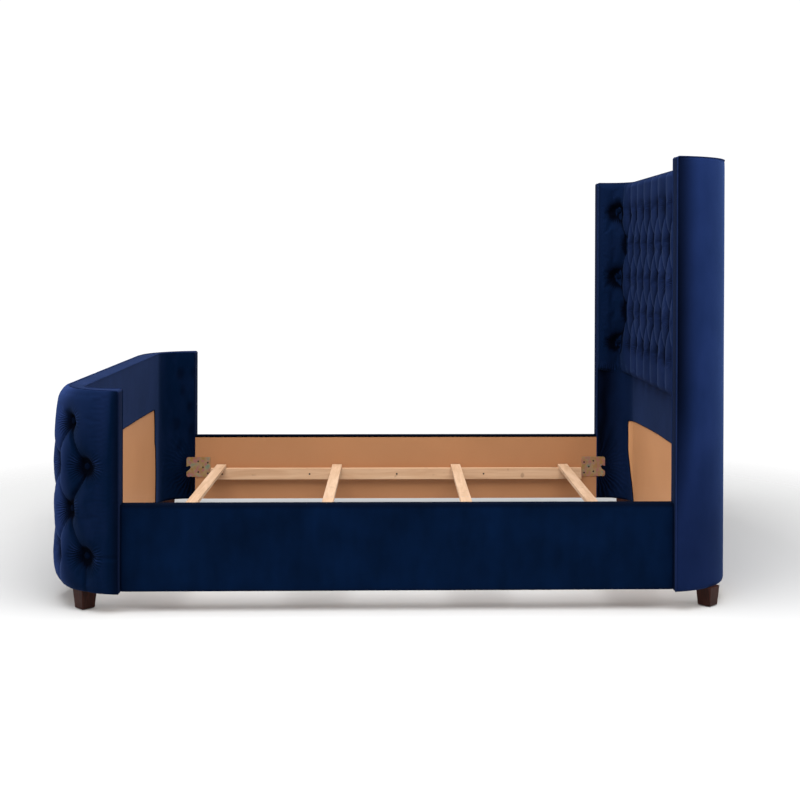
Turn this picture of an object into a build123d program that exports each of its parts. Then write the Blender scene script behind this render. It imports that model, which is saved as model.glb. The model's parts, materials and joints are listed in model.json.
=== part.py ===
from build123d import *
from math import acos, atan2, cos, degrees, hypot, radians, sin, sqrt, tan
import os

# Wingback bed frame for a queen mattress, in millimetres. +Z is up, +X points to the headboard and
# the origin is on the floor under the middle of the bed. Left is the -Y side, right the +Y side.

# Mattress and the clear space round it
mattress_width = 1524
mattress_length = 2032
side_gap = 8
end_gap = 62

# Headboard and footboard walls
headboard_height = 1504
footboard_height = 730
underside_height = 66
shell_thickness = 65
wing_depth = 212
corner_radius = 250
inner_corner_radius = 110
face_board_thickness = 4
fabric = 2

# Tufted pads
foot_pad_depth = 53
foot_pad_edge = 6
foot_top_roll = 180
foot_bottom_roll = 80
foot_bottom_step = 30
head_pad_depth = 30
head_wing_pad_depth = 20
head_pad_corner_radius = 60
head_pad_foot_height = 655
head_pad_top_round = 24
soft_gap = 0.3
pleat_width = 5
pillow_rise = 13
pillow_crown = 5
pillow_taper = 28
crown_taper = 55
pleat_depth = 14

# Button grids: columns across, rows down from the top
head_columns = 10
head_column_pitch = 142.5
head_rows = 5
head_row_pitch = 142.5
head_first_row = 122
foot_columns = 10
foot_column_pitch = 173
foot_rows = 4
foot_row_pitch = 148
foot_first_row = 105
button_radius = 11
button_thickness = 6
button_taper = 35
button_sides = 10
dimple_radius = 26
dimple_depth = 17

# On a corner pad, buttons as near as this share a pleat: shares of the row and column pitches
pleat_row_share = 1.5
pleat_column_share = 0.75

# Trimmed windows that leave the face boards bare
head_window_half_width = 600
head_window_height = 386
foot_window_half_width = 575
foot_window_height = 420
window_rise = 24
window_spread = 45
window_corner_radius = 24

# Side rails
rail_height = 288
rail_board_thickness = 25
rail_pad_thickness = 18
rail_top_wrap = 4
rail_edge_radius = 9
joint_gap = 0.3
cleat_depth = 30
cleat_height = 48
cleat_margin = 5
cleat_screws = 5
cleat_screw_pitch = 394
cleat_screw_length = 50
screw_radius = 2.2
screw_head_radius = 4.2
screw_head_height = 2.4
screw_clearance = 0.05

# Hook plates and the pins they drop over
plate_hold = 70
plate_height = 89
plate_thickness = 3
plate_drop = 144
plate_screw_length = 22
plate_corner_radius = 3
hook_corner_radius = 9
hook_gap = 12
hook_slot_width = 8.4
upper_hook_share = 0.07
pin_clearance = 0.2
pin_length = 42

# Legs under the four corners
leg_top_width = 58
leg_bottom_width = 47.5
leg_edge_radius = 2
leg_turn = 45
glide_radius = 12
glide_thickness = 3
leg_bolt_radius = 4
leg_bolt_length = 70
leg_bolt_in_leg = 32

# Slats and the legs under the middle two
slat_width = 44
slat_thickness = 16
slat_end_gap = 5
slat_drop = 132
slat_edge_radius = 2
slat_place_shares = (-0.868, -0.296, 0.292, 0.827)
middle_slats = (2, 3)
prop_width = 40
prop_foot_gap = 22
prop_screw_pitch = 20
foot_pad_radius = 19
foot_pad_height = 9
foot_pad_rim = 3
foot_pad_shoulder = 6
foot_stud_radius = 5
foot_stud_reach = 48
foot_stud_clearance = 0.3

# Sizes worked out from those above
half_clear = mattress_width / 2 + side_gap
clear_length = mattress_length + end_gap
half_length = (foot_pad_depth + 2 * shell_thickness + clear_length + head_pad_depth) / 2
foot_face = -half_length + foot_pad_depth
head_face = half_length
foot_front = foot_face + wing_depth
head_front = head_face - wing_depth
wing_half = half_clear + shell_thickness
arc_centre = wing_half - sqrt(corner_radius**2 - (corner_radius - wing_depth) ** 2)
flat_half = half_clear - inner_corner_radius
rail_top = underside_height + rail_height
slat_top = rail_top - slat_drop
cleat_top = slat_top - slat_thickness
plate_centre_z = rail_top - plate_drop
hook_overhang = wing_depth - shell_thickness - inner_corner_radius
overrun = shell_thickness
bay_centre = (foot_front + head_front) / 2
bay_half = (head_front - foot_front) / 2
sides = {"left": -1, "right": 1}

# Each end is drawn in its own plane: local X runs from its outer face towards the mattress
foot_plane = Plane(origin=(foot_face, 0, 0), x_dir=(1, 0, 0), z_dir=(0, 0, 1))
head_plane = Plane(origin=(head_face, 0, 0), x_dir=(-1, 0, 0), z_dir=(0, 0, 1))
ends = {
    "foot": dict(plane=foot_plane, turn=1, face=foot_face, top=footboard_height, skin=0),
    "head": dict(plane=head_plane, turn=-1, face=head_face, top=headboard_height, skin=fabric),
}

os.makedirs("parts", exist_ok=True)


def finish(piece, name):
    """Labels a finished piece and writes its STEP file."""
    piece.part.label = name
    export_step(piece.part, f"parts/{name}.step")
    return piece


def rounded_bay(start, half_width, radius):
    """The plan of a U-shaped space that starts at a depth and is open towards the mattress."""
    with BuildSketch() as plan:
        with Locations((start, 0)):
            Rectangle(2 * corner_radius, 2 * half_width, align=(Align.MIN, Align.CENTER))
        fillet(plan.vertices().group_by(Axis.X)[0], radius)
    return plan.sketch


def outer_plan(inset):
    """Everything inside the wall's outer outline, moved inwards by an inset."""
    return rounded_bay(inset, arc_centre + corner_radius - inset, corner_radius - inset)


def inner_plan(inset):
    """Everything inside the wall's inner outline, moved into the wall by an inset."""
    return rounded_bay(shell_thickness - inset, half_clear + inset, inner_corner_radius + inset)


def wall_plan(outside, inside, front=0, low=None, high=None):
    """The plan between two outlines, cut off at the wing's front and, if asked, at its sides."""
    low = -2 * wing_half if low is None else low
    high = 2 * wing_half if high is None else high
    with BuildSketch() as plan:
        add(outside)
        add(inside, mode=Mode.SUBTRACT)
        with Locations((-corner_radius, low)):
            Rectangle(
                corner_radius + wing_depth - front, high - low,
                align=(Align.MIN, Align.MIN), mode=Mode.INTERSECT,
            )
    return plan.sketch


def upright(plane, outline, bottom, top):
    """A wall: its plan raised from one height to another."""
    with BuildPart() as wall:
        with BuildSketch(plane.offset(bottom)):
            add(outline)
        extrude(amount=top - bottom)
    return wall


def leg_places(end):
    """Both leg centres of one end: halfway through the wall on the corner's diagonal."""
    lean = sqrt(1 / 2)
    outer = (corner_radius * (1 - lean), arc_centre + corner_radius * lean)
    inner_centre = shell_thickness + inner_corner_radius
    inner = (inner_centre - inner_corner_radius * lean, flat_half + inner_corner_radius * lean)
    depth, reach = (outer[0] + inner[0]) / 2, (outer[1] + inner[1]) / 2
    along = ends[end]["face"] + ends[end]["turn"] * depth
    return {side: (along, sign * reach) for side, sign in sides.items()}


# The hook plate's two hooks, as heights above its middle, and how far the pins stand past the rail
upper_pin_height = plate_height * upper_hook_share
lower_pin_height = -plate_height / 2 + hook_slot_width / 2
pin_reach = hook_overhang / 2


def pin_places(end):
    """Centres of one end's hook pins in the X-Z plane."""
    past_rail = (foot_front - pin_reach) if end == "foot" else (head_front + pin_reach)
    return [(past_rail, plate_centre_z + height) for height in (upper_pin_height, lower_pin_height)]


def drill_pins(end, sign, clearance):
    """Bores for the hook pins, cut from the piece being built."""
    for along, height in pin_places(end):
        with Locations((along, sign * (half_clear - plate_thickness), height)):
            Cylinder(
                hook_slot_width / 2 - pin_clearance + clearance, pin_length,
                rotation=(-90 * sign, 0, 0), align=(Align.CENTER, Align.CENTER, Align.MIN),
                mode=Mode.SUBTRACT,
            )


# Frames, face boards and edge bands of both ends
for end, made in ends.items():
    plane, top, skin, turn = made["plane"], made["top"], made["skin"], made["turn"]
    frame_outside = outer_plan(skin)
    frame_inside = inner_plan(fabric + face_board_thickness)
    panel_outline = wall_plan(frame_outside, frame_inside, fabric, -arc_centre, arc_centre)
    panel_frame = upright(plane, panel_outline, underside_height, top - fabric)
    finish(panel_frame, f"{end}_panel_frame")

    for side, sign in sides.items():
        low, high = (arc_centre, 2 * wing_half) if sign * turn > 0 else (-2 * wing_half, -arc_centre)
        wing_outline = wall_plan(frame_outside, frame_inside, fabric, low, high)
        leg_place = leg_places(end)[side]
        with BuildPart() as wing_frame:
            with BuildSketch(plane.offset(underside_height)):
                add(wing_outline)
            extrude(amount=top - fabric - underside_height)
            drill_pins(end, sign, screw_clearance)
            with Locations((*leg_place, underside_height)):
                Cylinder(
                    leg_bolt_radius + screw_clearance, leg_bolt_length - leg_bolt_in_leg,
                    align=(Align.CENTER, Align.CENTER, Align.MIN), mode=Mode.SUBTRACT,
                )
        finish(wing_frame, f"{end}_wing_frame_{side}")

    board_outline = wall_plan(inner_plan(fabric + face_board_thickness), inner_plan(fabric), fabric)
    with BuildPart() as face_board:
        with BuildSketch(plane.offset(underside_height)):
            add(board_outline)
        extrude(amount=top - fabric - underside_height)
        for sign in sides.values():
            drill_pins(end, sign, screw_clearance)
    finish(face_board, f"{end}_face_board")

    band_plan = wall_plan(outer_plan(0), inner_plan(0))
    with BuildPart() as edge_band:
        with BuildSketch(plane.offset(underside_height)):
            add(band_plan)
            with Locations((-corner_radius, 0)):
                Rectangle(
                    corner_radius + wing_depth - fabric, 2 * wing_half + fabric,
                    align=(Align.MIN, Align.CENTER), mode=Mode.SUBTRACT,
                )
        extrude(amount=top - underside_height)
        with BuildSketch(plane.offset(top - fabric)):
            add(band_plan)
        extrude(amount=fabric)
    finish(edge_band, f"{end}_edge_band")

# The headboard's back and sides are one stretched cover
back_outline = wall_plan(outer_plan(0), outer_plan(fabric), fabric)
head_outer_cover = upright(head_plane, back_outline, underside_height, headboard_height - fabric)
finish(head_outer_cover, "head_outer_cover")


def inner_cover(end, top, half_width, window_height):
    """A cover on the inner face, trimmed by hand round a window that leaves the board bare."""
    made = ends[end]
    outline = wall_plan(inner_plan(fabric), inner_plan(0), fabric)
    cut_plane = Plane(origin=(made["face"], 0, underside_height), x_dir=(0, 1, 0), z_dir=(made["turn"], 0, 0))
    up = made["turn"]
    with BuildPart() as cover:
        with BuildSketch(made["plane"].offset(underside_height)):
            add(outline)
        extrude(amount=top - underside_height)
        with BuildSketch(cut_plane) as window:
            with BuildLine():
                crown = (0, up * (window_height + window_rise))
                corners = [(sign * half_width, up * window_height) for sign in (-1, 1)]
                feet = [(sign * (half_width + window_spread), -up * overrun) for sign in (-1, 1)]
                ThreePointArc(corners[0], crown, corners[1])
                Polyline(corners[1], feet[1], feet[0], corners[0])
            make_face()
            fillet(window.vertices().sort_by(lambda v: up * v.Y)[-2:], window_corner_radius)
        extrude(amount=wing_depth, mode=Mode.SUBTRACT)
        for sign in sides.values():
            drill_pins(end, sign, screw_clearance)
    return cover


head_inner_cover = inner_cover(
    "head", head_pad_foot_height - soft_gap, head_window_half_width, head_window_height
)
finish(head_inner_cover, "head_inner_cover")
foot_inner_cover = inner_cover(
    "foot", footboard_height - fabric, foot_window_half_width, foot_window_height
)
finish(foot_inner_cover, "foot_inner_cover")


def column_offsets(row, columns, pitch):
    """Places across the panel of one row's buttons: every second row is set over by half a pitch."""
    count = columns if row % 2 == 0 else columns + 1
    return [(index - (count - 1) / 2) * pitch for index in range(count)]


def tuft_grid(columns, pitch, rows, row_pitch, first_row, top):
    """All buttons of a grid as rows of (across, height)."""
    return [
        [(across, top - first_row - row * row_pitch) for across in column_offsets(row, columns, pitch)]
        for row in range(rows)
    ]


head_grid = tuft_grid(
    head_columns, head_column_pitch, head_rows, head_row_pitch, head_first_row, headboard_height
)
foot_grid = tuft_grid(
    foot_columns, foot_column_pitch, foot_rows, foot_row_pitch, foot_first_row, footboard_height
)


def tuft_cells(grid, pitch, top, bottom):
    """Outlines of a grid's cells: diamonds between the rows, five-sided ones at both edges."""
    cells = []
    half = pitch / 2
    spare = [-1, 0, 1]
    for row, middle, below in zip(grid, grid[1:], grid[2:]):
        reach = [across for across, height in row]
        places = sorted({across + step * pitch for across in reach for step in spare})
        for across in places:
            cells.append([
                (across, row[0][1]), (across + half, middle[0][1]),
                (across, below[0][1]), (across - half, middle[0][1]),
            ])
    for edge, row, inner in ((top, grid[0], grid[1]), (bottom, grid[-1], grid[-2])):
        reach = [across for across, height in inner]
        for across in sorted({place + step * pitch for place in reach for step in spare}):
            cells.append([
                (across - half, edge), (across - half, row[0][1]), (across, inner[0][1]),
                (across + half, row[0][1]), (across + half, edge),
            ])
    return cells


def drawn_in(corners, gap):
    """A cell's outline moved inwards by a gap."""
    with BuildSketch() as cell:
        Polygon(*corners, align=None)
        offset(amount=-gap, kind=Kind.INTERSECTION, mode=Mode.REPLACE)
    return cell.sketch


def tufted_face(plane, grid, cells, half_width, bottom, top, base_rise):
    """Pillows between pleats: a slab, then each cell raised in two steps, then wells for buttons."""
    crown_gap = pleat_width / 2 + pillow_rise * tan(radians(pillow_taper)) + soft_gap
    steps = [
        (base_rise, [drawn_in(cell, pleat_width / 2) for cell in cells], pillow_rise, pillow_taper),
        (base_rise + pillow_rise, [drawn_in(cell, crown_gap) for cell in cells], pillow_crown, crown_taper),
    ]
    with BuildPart() as pad:
        with BuildSketch(plane):
            with Locations((0, bottom)):
                Rectangle(2 * half_width, top - bottom, align=(Align.CENTER, Align.MIN))
        extrude(amount=base_rise)
        for level, outlines, rise, taper in steps:
            with BuildSketch(plane.offset(level)):
                add(outlines)
            extrude(amount=rise, taper=taper)
        with BuildSketch(plane.offset(base_rise)):
            with Locations(*[place for row in grid for place in row]):
                RegularPolygon(button_radius + pleat_width / 2, button_sides)
        extrude(amount=pillow_rise + pillow_crown, mode=Mode.SUBTRACT)
    return pad


# Headboard pads: a tufted centre and a pad in each wing, lying on the face board
board_face = head_face - shell_thickness + fabric
head_pad_plane = Plane(origin=(board_face - soft_gap, 0, 0), x_dir=(0, -1, 0), z_dir=(-1, 0, 0))
head_pad_top = headboard_height - fabric - soft_gap
head_pad_full = fabric + head_pad_depth - soft_gap
head_pad_half = half_clear - head_wing_pad_depth - head_pad_corner_radius
head_base_rise = head_pad_full - pillow_rise - pillow_crown
head_cells = tuft_cells(head_grid, head_column_pitch, headboard_height, head_pad_foot_height)
head_tufting = tufted_face(
    head_pad_plane, head_grid, head_cells, flat_half, head_pad_foot_height, head_pad_top, head_base_rise
)
with BuildPart() as head_pad_centre:
    add(head_tufting.part)
    with BuildSketch(Plane.XZ.offset(-flat_half)):
        with BuildLine():
            back, front = board_face, board_face - head_pad_full - soft_gap
            Polyline(
                (front, head_pad_top - head_pad_top_round),
                (front, head_pad_foot_height + head_pad_top_round),
                (front + head_pad_top_round, head_pad_foot_height), (back, head_pad_foot_height),
                (back, head_pad_top), (front + head_pad_top_round, head_pad_top),
            )
            RadiusArc(
                (front, head_pad_top - head_pad_top_round), (front + head_pad_top_round, head_pad_top),
                head_pad_top_round,
            )
        make_face()
    extrude(amount=2 * flat_half, mode=Mode.INTERSECT)
finish(head_pad_centre, "head_pad_centre")


def head_wing_pad_plan(low, high):
    """Plan of a wing's pad, from the face board to the padded face, between two side limits."""
    padded = rounded_bay(
        shell_thickness + head_pad_depth, half_clear - head_wing_pad_depth, head_pad_corner_radius
    )
    return wall_plan(inner_plan(fabric - soft_gap), padded, fabric, low, high)


wing_column = (head_columns + 1) / 2 * head_column_pitch
corner_column = head_columns / 2 * head_column_pitch


def head_wing_place(across):
    """Local place and outward direction on the wing pad's face, a given way round from the middle."""
    round_in = (across - head_pad_half) / head_pad_corner_radius
    start = shell_thickness + head_pad_depth
    quarter = acos(0)
    if round_in < quarter:
        centre = (start + head_pad_corner_radius, head_pad_half)
        normal = (cos(round_in), -sin(round_in))
        depth = centre[0] - head_pad_corner_radius * cos(round_in)
        return depth, centre[1] + head_pad_corner_radius * sin(round_in), normal
    past = (round_in - quarter) * head_pad_corner_radius
    return start + head_pad_corner_radius + past, half_clear - head_wing_pad_depth, (0, -1)


def world_place(end, depth, reach, height, normal, sign):
    """A local place and direction on one side of an end as a plane that faces outwards."""
    turn = ends[end]["turn"]
    origin = (ends[end]["face"] + turn * depth, sign * reach, height)
    return Plane(origin=origin, z_dir=(turn * normal[0], sign * normal[1], 0))


def cut_dimples(places, depth):
    """Pyramids pressed in at the buttons of a curved pad, cut from the piece being built."""
    with BuildSketch(*[place.offset(-depth) for place in places]) as pits:
        RegularPolygon(button_radius + pleat_width / 2, button_sides)
    steep = degrees(atan2(dimple_radius - button_radius, depth))
    extrude(pits.sketch, amount=depth + pleat_width, taper=-steep, mode=Mode.SUBTRACT)


def cut_pleat(start, stop, depth):
    """A V-shaped pleat from one button to the next on a curved pad, cut from the piece being built."""
    run = stop.origin - start.origin
    outward = (start.z_dir + stop.z_dir).normalized()
    across = outward.cross(run).normalized()
    section_plane = Plane(origin=start.origin, x_dir=across, z_dir=run.normalized())
    up = depth if section_plane.y_dir.dot(outward) > 0 else -depth
    with BuildSketch(section_plane) as notch:
        Polygon((0, -up), (2 * pleat_width, up), (-2 * pleat_width, up), align=None)
    extrude(notch.sketch, amount=run.length, mode=Mode.SUBTRACT)


head_heights = [row[0][1] for row in head_grid]
head_wing_planes = {}
for side, sign in sides.items():
    low, high = (flat_half + soft_gap, 2 * wing_half)
    if sign * ends["head"]["turn"] < 0:
        low, high = -high, -low
    pad_outline = head_wing_pad_plan(low, high)
    places = []
    for row, height in enumerate(head_heights):
        across = wing_column if row % 2 == 0 else corner_column
        depth, reach, normal = head_wing_place(across)
        places.append(world_place("head", depth, reach, height, normal, sign))
    head_wing_planes[side] = places
    with BuildPart() as head_wing_pad:
        with BuildSketch(head_plane.offset(head_pad_foot_height)):
            add(pad_outline)
        extrude(amount=head_pad_top - head_pad_foot_height)
        cut_dimples(places, dimple_depth)
        for place, below in zip(places, places[1:]):
            cut_pleat(place, below, pleat_depth)
    finish(head_wing_pad, f"head_pad_{side}")


# Footboard pads: a tufted front and a pad round each corner
def foot_reach(height):
    """How far the footboard's pad stands out at a height: elliptical rolls at its top and bottom."""
    rise = max(0, height - (footboard_height - foot_top_roll)) / foot_top_roll
    fall = max(0, underside_height + foot_bottom_roll - height) / foot_bottom_roll
    rolled = foot_pad_edge + (foot_pad_depth - foot_pad_edge) * sqrt(max(0, 1 - rise**2))
    return rolled - foot_bottom_step * (1 - sqrt(max(0, 1 - fall**2)))


top_roll_shares = (1, 0.97, 0.88, 0.7, 0.45, 0)
bottom_roll_shares = (0, 0.6, 0.9, 1)
foot_pad_top = footboard_height - soft_gap
foot_levels = [foot_pad_top - foot_top_roll * (1 - share) for share in top_roll_shares]
foot_levels += [underside_height + foot_bottom_roll * (1 - share) for share in bottom_roll_shares]

foot_cells = tuft_cells(foot_grid, foot_column_pitch, footboard_height, underside_height)
foot_pad_plane = Plane(origin=(foot_face - soft_gap, 0, 0), x_dir=(0, -1, 0), z_dir=(-1, 0, 0))
foot_base_rise = foot_pad_depth - soft_gap - pillow_rise - pillow_crown
foot_tufting = tufted_face(
    foot_pad_plane, foot_grid, foot_cells, arc_centre, underside_height, foot_pad_top, foot_base_rise
)
with BuildPart() as foot_pad_centre:
    add(foot_tufting.part)
    with BuildSketch(Plane.XZ.offset(-arc_centre)):
        with BuildLine():
            outline = [(foot_face - foot_reach(level), level) for level in foot_levels]
            Polyline((foot_face, foot_pad_top), *outline, (foot_face, underside_height), close=True)
        make_face()
    extrude(amount=2 * arc_centre, mode=Mode.INTERSECT)
finish(foot_pad_centre, "foot_pad_centre")

wing_end = wing_depth - fabric
wing_end_reach = arc_centre + sqrt(corner_radius**2 - (corner_radius - wing_end) ** 2)


def foot_corner_section(height):
    """Plan of a corner pad at a height: the wall's arc inside, a tapering arc outside."""
    reach = foot_reach(height)
    edge = foot_pad_edge * reach / foot_pad_depth + soft_gap
    start = (-soft_gap, arc_centre + soft_gap)
    middle_angle = acos((corner_radius - wing_end) / corner_radius) / 2
    wall = corner_radius + soft_gap
    middle = (corner_radius - wall * cos(middle_angle), arc_centre + wall * sin(middle_angle))
    inner_end = (wing_end, wing_end_reach + soft_gap)
    with BuildSketch() as section:
        with BuildLine():
            Line(start, (-reach, start[1]))
            TangentArc((-reach, start[1]), (wing_end, wing_end_reach + edge + soft_gap), tangent=(0, 1))
            Line((wing_end, wing_end_reach + edge + soft_gap), inner_end)
            ThreePointArc(inner_end, middle, start)
        make_face()
    return section.sketch


def foot_corner_place(across, height):
    """Local place and outward direction on the corner pad, a given way round from the middle."""
    reach = foot_reach(height)
    end = (wing_end, wing_end_reach + foot_pad_edge)
    width, rise = end[0] + reach, end[1] - arc_centre
    radius = (width**2 + rise**2) / (2 * width)
    angle = (across - arc_centre) / radius
    normal = (-cos(angle), sin(angle))
    return radius - reach - radius * cos(angle), arc_centre + radius * sin(angle), normal


foot_corner_planes = {}
for side, sign in sides.items():
    places = []
    for row in foot_grid:
        beyond = [place for place in row if place[0] > arc_centre + button_radius]
        for across, height in beyond:
            depth, reach, normal = foot_corner_place(across, height)
            places.append(world_place("foot", depth, reach, height, normal, sign))
    foot_corner_planes[side] = places
    sections = [foot_corner_section(level) for level in foot_levels]
    with BuildPart() as foot_corner_pad:
        for level, section in zip(foot_levels, sections):
            with BuildSketch(foot_plane.offset(level)):
                if sign > 0:
                    add(section)
                else:
                    add(mirror(section, about=Plane.XZ, mode=Mode.PRIVATE))
        loft(ruled=True)
        cut_dimples(places, dimple_depth)
        for place in places:
            for below in places:
                run = place.origin - below.origin
                near = hypot(run.X, run.Y) < foot_column_pitch * pleat_column_share
                if near and 0 < run.Z < foot_row_pitch * pleat_row_share:
                    cut_pleat(place, below, pleat_depth)
    finish(foot_corner_pad, f"foot_pad_{side}")


# Covered buttons, one group for each end
def button_group(planes):
    """Low domes seated on the bottoms of the dimples."""
    with BuildPart() as buttons:
        with BuildSketch(*planes):
            RegularPolygon(button_radius, button_sides)
        extrude(amount=button_thickness, taper=button_taper)
    return buttons


def face_buttons(base_plane, base_rise, grid, half_width):
    """Button planes on a flat tufted face."""
    depth = base_plane.offset(base_rise + soft_gap).origin.X
    places = [place for row in grid for place in row if abs(place[0]) < half_width - button_radius]
    return [Plane(origin=(depth, *place), z_dir=base_plane.z_dir) for place in places]


head_buttons = button_group(
    face_buttons(head_pad_plane, head_base_rise, head_grid, flat_half)
    + [place.offset(soft_gap - dimple_depth) for places in head_wing_planes.values() for place in places]
)
finish(head_buttons, "head_buttons")
foot_buttons = button_group(
    face_buttons(foot_pad_plane, foot_base_rise, foot_grid, arc_centre)
    + [place.offset(soft_gap - dimple_depth) for places in foot_corner_planes.values() for place in places]
)
finish(foot_buttons, "foot_buttons")

# Side rails: a board with a padded cover outside and over its top, and a cleat for the slats
rail_start = foot_front + joint_gap
rail_length = head_front - foot_front - 2 * joint_gap
cleat_start = foot_front + plate_hold + cleat_margin
cleat_length = head_front - foot_front - 2 * (plate_hold + cleat_margin)
cleat_screw_places = [
    bay_centre + (index - (cleat_screws - 1) / 2) * cleat_screw_pitch for index in range(cleat_screws)
]
cleat_screw_z = cleat_top - cleat_height / 2

# Screw places on a plate, as shares of its hold on the rail and of its half height
plate_hole_shares = ((0.23, 0.57), (0.84, 0.44), (0.53, -0.03), (0.23, -0.51), (0.84, -0.64))


def plate_holes(end):
    """Screw centres of one end's hook plates in the X-Z plane."""
    edge, turn = (foot_front, 1) if end == "foot" else (head_front, -1)
    return [
        (edge + turn * along * plate_hold, plate_centre_z + up * plate_height / 2)
        for along, up in plate_hole_shares
    ]


def screw_shape(face, sign, places, length, clearance, mode):
    """Countersunk screws, or the bores for them, driven outwards from a face of the rail."""
    for along, height in places:
        with Locations((along, face, height)):
            Cylinder(
                screw_radius + clearance, length, rotation=(-90 * sign, 0, 0),
                align=(Align.CENTER, Align.CENTER, Align.MIN), mode=mode,
            )
            Cone(
                screw_head_radius + clearance, screw_radius + clearance, screw_head_height,
                rotation=(-90 * sign, 0, 0), align=(Align.CENTER, Align.CENTER, Align.MIN), mode=mode,
            )


all_plate_holes = plate_holes("foot") + plate_holes("head")
cleat_screw_points = [(along, cleat_screw_z) for along in cleat_screw_places]
for side, sign in sides.items():
    board_middle = sign * (half_clear + rail_board_thickness / 2)
    with BuildPart() as rail_board:
        with BuildSketch(Plane.XY.offset(underside_height)):
            with Locations((rail_start, board_middle)):
                Rectangle(rail_length, rail_board_thickness, align=(Align.MIN, Align.CENTER))
        extrude(amount=rail_height - rail_top_wrap)
        screw_shape(
            sign * (half_clear - plate_thickness), sign, all_plate_holes,
            plate_screw_length, screw_clearance, Mode.SUBTRACT,
        )
        screw_shape(
            sign * (half_clear - cleat_depth), sign, cleat_screw_points,
            cleat_screw_length, screw_clearance, Mode.SUBTRACT,
        )
    finish(rail_board, f"rail_board_{side}")

    inner_y, board_y = half_clear, half_clear + rail_board_thickness
    outer_y = board_y + rail_pad_thickness
    wrap_z = rail_top - rail_top_wrap
    with BuildPart() as rail_cover:
        with BuildSketch(Plane.YZ.offset(rail_start)) as profile:
            with BuildLine():
                Polyline(
                    (sign * board_y, underside_height), (sign * outer_y, underside_height),
                    (sign * outer_y, rail_top), (sign * inner_y, rail_top),
                    (sign * inner_y, wrap_z), (sign * board_y, wrap_z), close=True,
                )
            make_face()
            outer_corners = profile.vertices().filter_by(lambda v: abs(v.X) > board_y + soft_gap)
            fillet(outer_corners, rail_edge_radius)
        extrude(amount=rail_length)
    finish(rail_cover, f"rail_cover_{side}")

    with BuildPart() as rail_cleat:
        with BuildSketch(Plane.XY.offset(cleat_top - cleat_height)):
            with Locations((cleat_start, sign * (half_clear - cleat_depth / 2))):
                Rectangle(cleat_length, cleat_depth, align=(Align.MIN, Align.CENTER))
        extrude(amount=cleat_height)
        screw_shape(
            sign * (half_clear - cleat_depth), sign, cleat_screw_points,
            cleat_screw_length, screw_clearance, Mode.SUBTRACT,
        )
    finish(rail_cleat, f"rail_cleat_{side}")

with BuildPart() as cleat_screw_group:
    for sign in sides.values():
        screw_shape(
            sign * (half_clear - cleat_depth), sign, cleat_screw_points, cleat_screw_length, 0, Mode.ADD
        )
finish(cleat_screw_group, "cleat_screws")

with BuildPart() as plate_screw_group:
    for sign in sides.values():
        screw_shape(
            sign * (half_clear - plate_thickness), sign, all_plate_holes, plate_screw_length, 0, Mode.ADD
        )
finish(plate_screw_group, "hook_plate_screws")


def hook_plate(end, sign):
    """A stamped plate with two hooks that point down past the rail's end."""
    edge, turn = (foot_front, 1) if end == "foot" else (head_front, -1)
    cut_plane = Plane(
        origin=(edge, sign * half_clear, plate_centre_z), x_dir=(turn, 0, 0), z_dir=(0, -sign, 0)
    )
    flip = 1 if cut_plane.y_dir.Z > 0 else -1
    half = plate_height / 2
    slot = hook_slot_width / 2
    with BuildPart() as plate:
        with BuildSketch(cut_plane) as outline:
            with Locations((-hook_overhang, 0)):
                Rectangle(hook_overhang + plate_hold, plate_height, align=(Align.MIN, Align.CENTER))
            outer = outline.vertices().group_by(Axis.X)
            fillet(outer[-1], plate_corner_radius)
            fillet(outline.vertices().group_by(Axis.X)[0], hook_corner_radius)
            with BuildLine():
                # The mouth between the hooks opens at the plate's end and rises to the upper pin
                Polyline(
                    (-hook_overhang - overrun, flip * (upper_pin_height - slot)),
                    (-hook_overhang, flip * (upper_pin_height - slot)),
                    (-pin_reach - slot, flip * upper_pin_height),
                    (-pin_reach + slot, flip * upper_pin_height),
                    (-pin_reach - slot, flip * (upper_pin_height - slot - hook_gap)),
                    (-hook_overhang, flip * (upper_pin_height - slot - 2 * hook_gap)),
                    (-hook_overhang - overrun, flip * (upper_pin_height - slot - 2 * hook_gap)),
                    close=True,
                )
            make_face(mode=Mode.SUBTRACT)
            with Locations((-pin_reach, flip * upper_pin_height), (-pin_reach, flip * lower_pin_height)):
                Circle(slot, mode=Mode.SUBTRACT)
            with Locations((-pin_reach, flip * -half)):
                Rectangle(hook_slot_width, hook_slot_width, mode=Mode.SUBTRACT)
        extrude(amount=plate_thickness)
        screw_shape(
            sign * (half_clear - plate_thickness), sign, plate_holes(end),
            plate_screw_length, screw_clearance, Mode.SUBTRACT,
        )
    return plate


for end in ends:
    for side, sign in sides.items():
        finish(hook_plate(end, sign), f"{end}_hook_plate_{side}")

with BuildPart() as hook_pins:
    for end in ends:
        for sign in sides.values():
            for along, height in pin_places(end):
                with Locations((along, sign * (half_clear - plate_thickness), height)):
                    Cylinder(
                        hook_slot_width / 2 - pin_clearance, pin_length, rotation=(-90 * sign, 0, 0),
                        align=(Align.CENTER, Align.CENTER, Align.MIN),
                    )
finish(hook_pins, "hook_pins")

# Legs, turned to face the corner's diagonal, with their bolts and glides
all_leg_places = {
    f"{end}_leg_{side}": place for end in ends for side, place in leg_places(end).items()
}
for name, place in all_leg_places.items():
    with BuildPart() as leg:
        for width, height in ((leg_top_width, underside_height), (leg_bottom_width, glide_thickness)):
            with BuildSketch(Plane.XY.offset(height)) as square:
                with Locations(place):
                    Rectangle(width, width, rotation=leg_turn)
                fillet(square.vertices(), leg_edge_radius)
        loft()
        with Locations((*place, underside_height - leg_bolt_in_leg)):
            Cylinder(
                leg_bolt_radius + screw_clearance, leg_bolt_in_leg,
                align=(Align.CENTER, Align.CENTER, Align.MIN), mode=Mode.SUBTRACT,
            )
    finish(leg, name)

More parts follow.
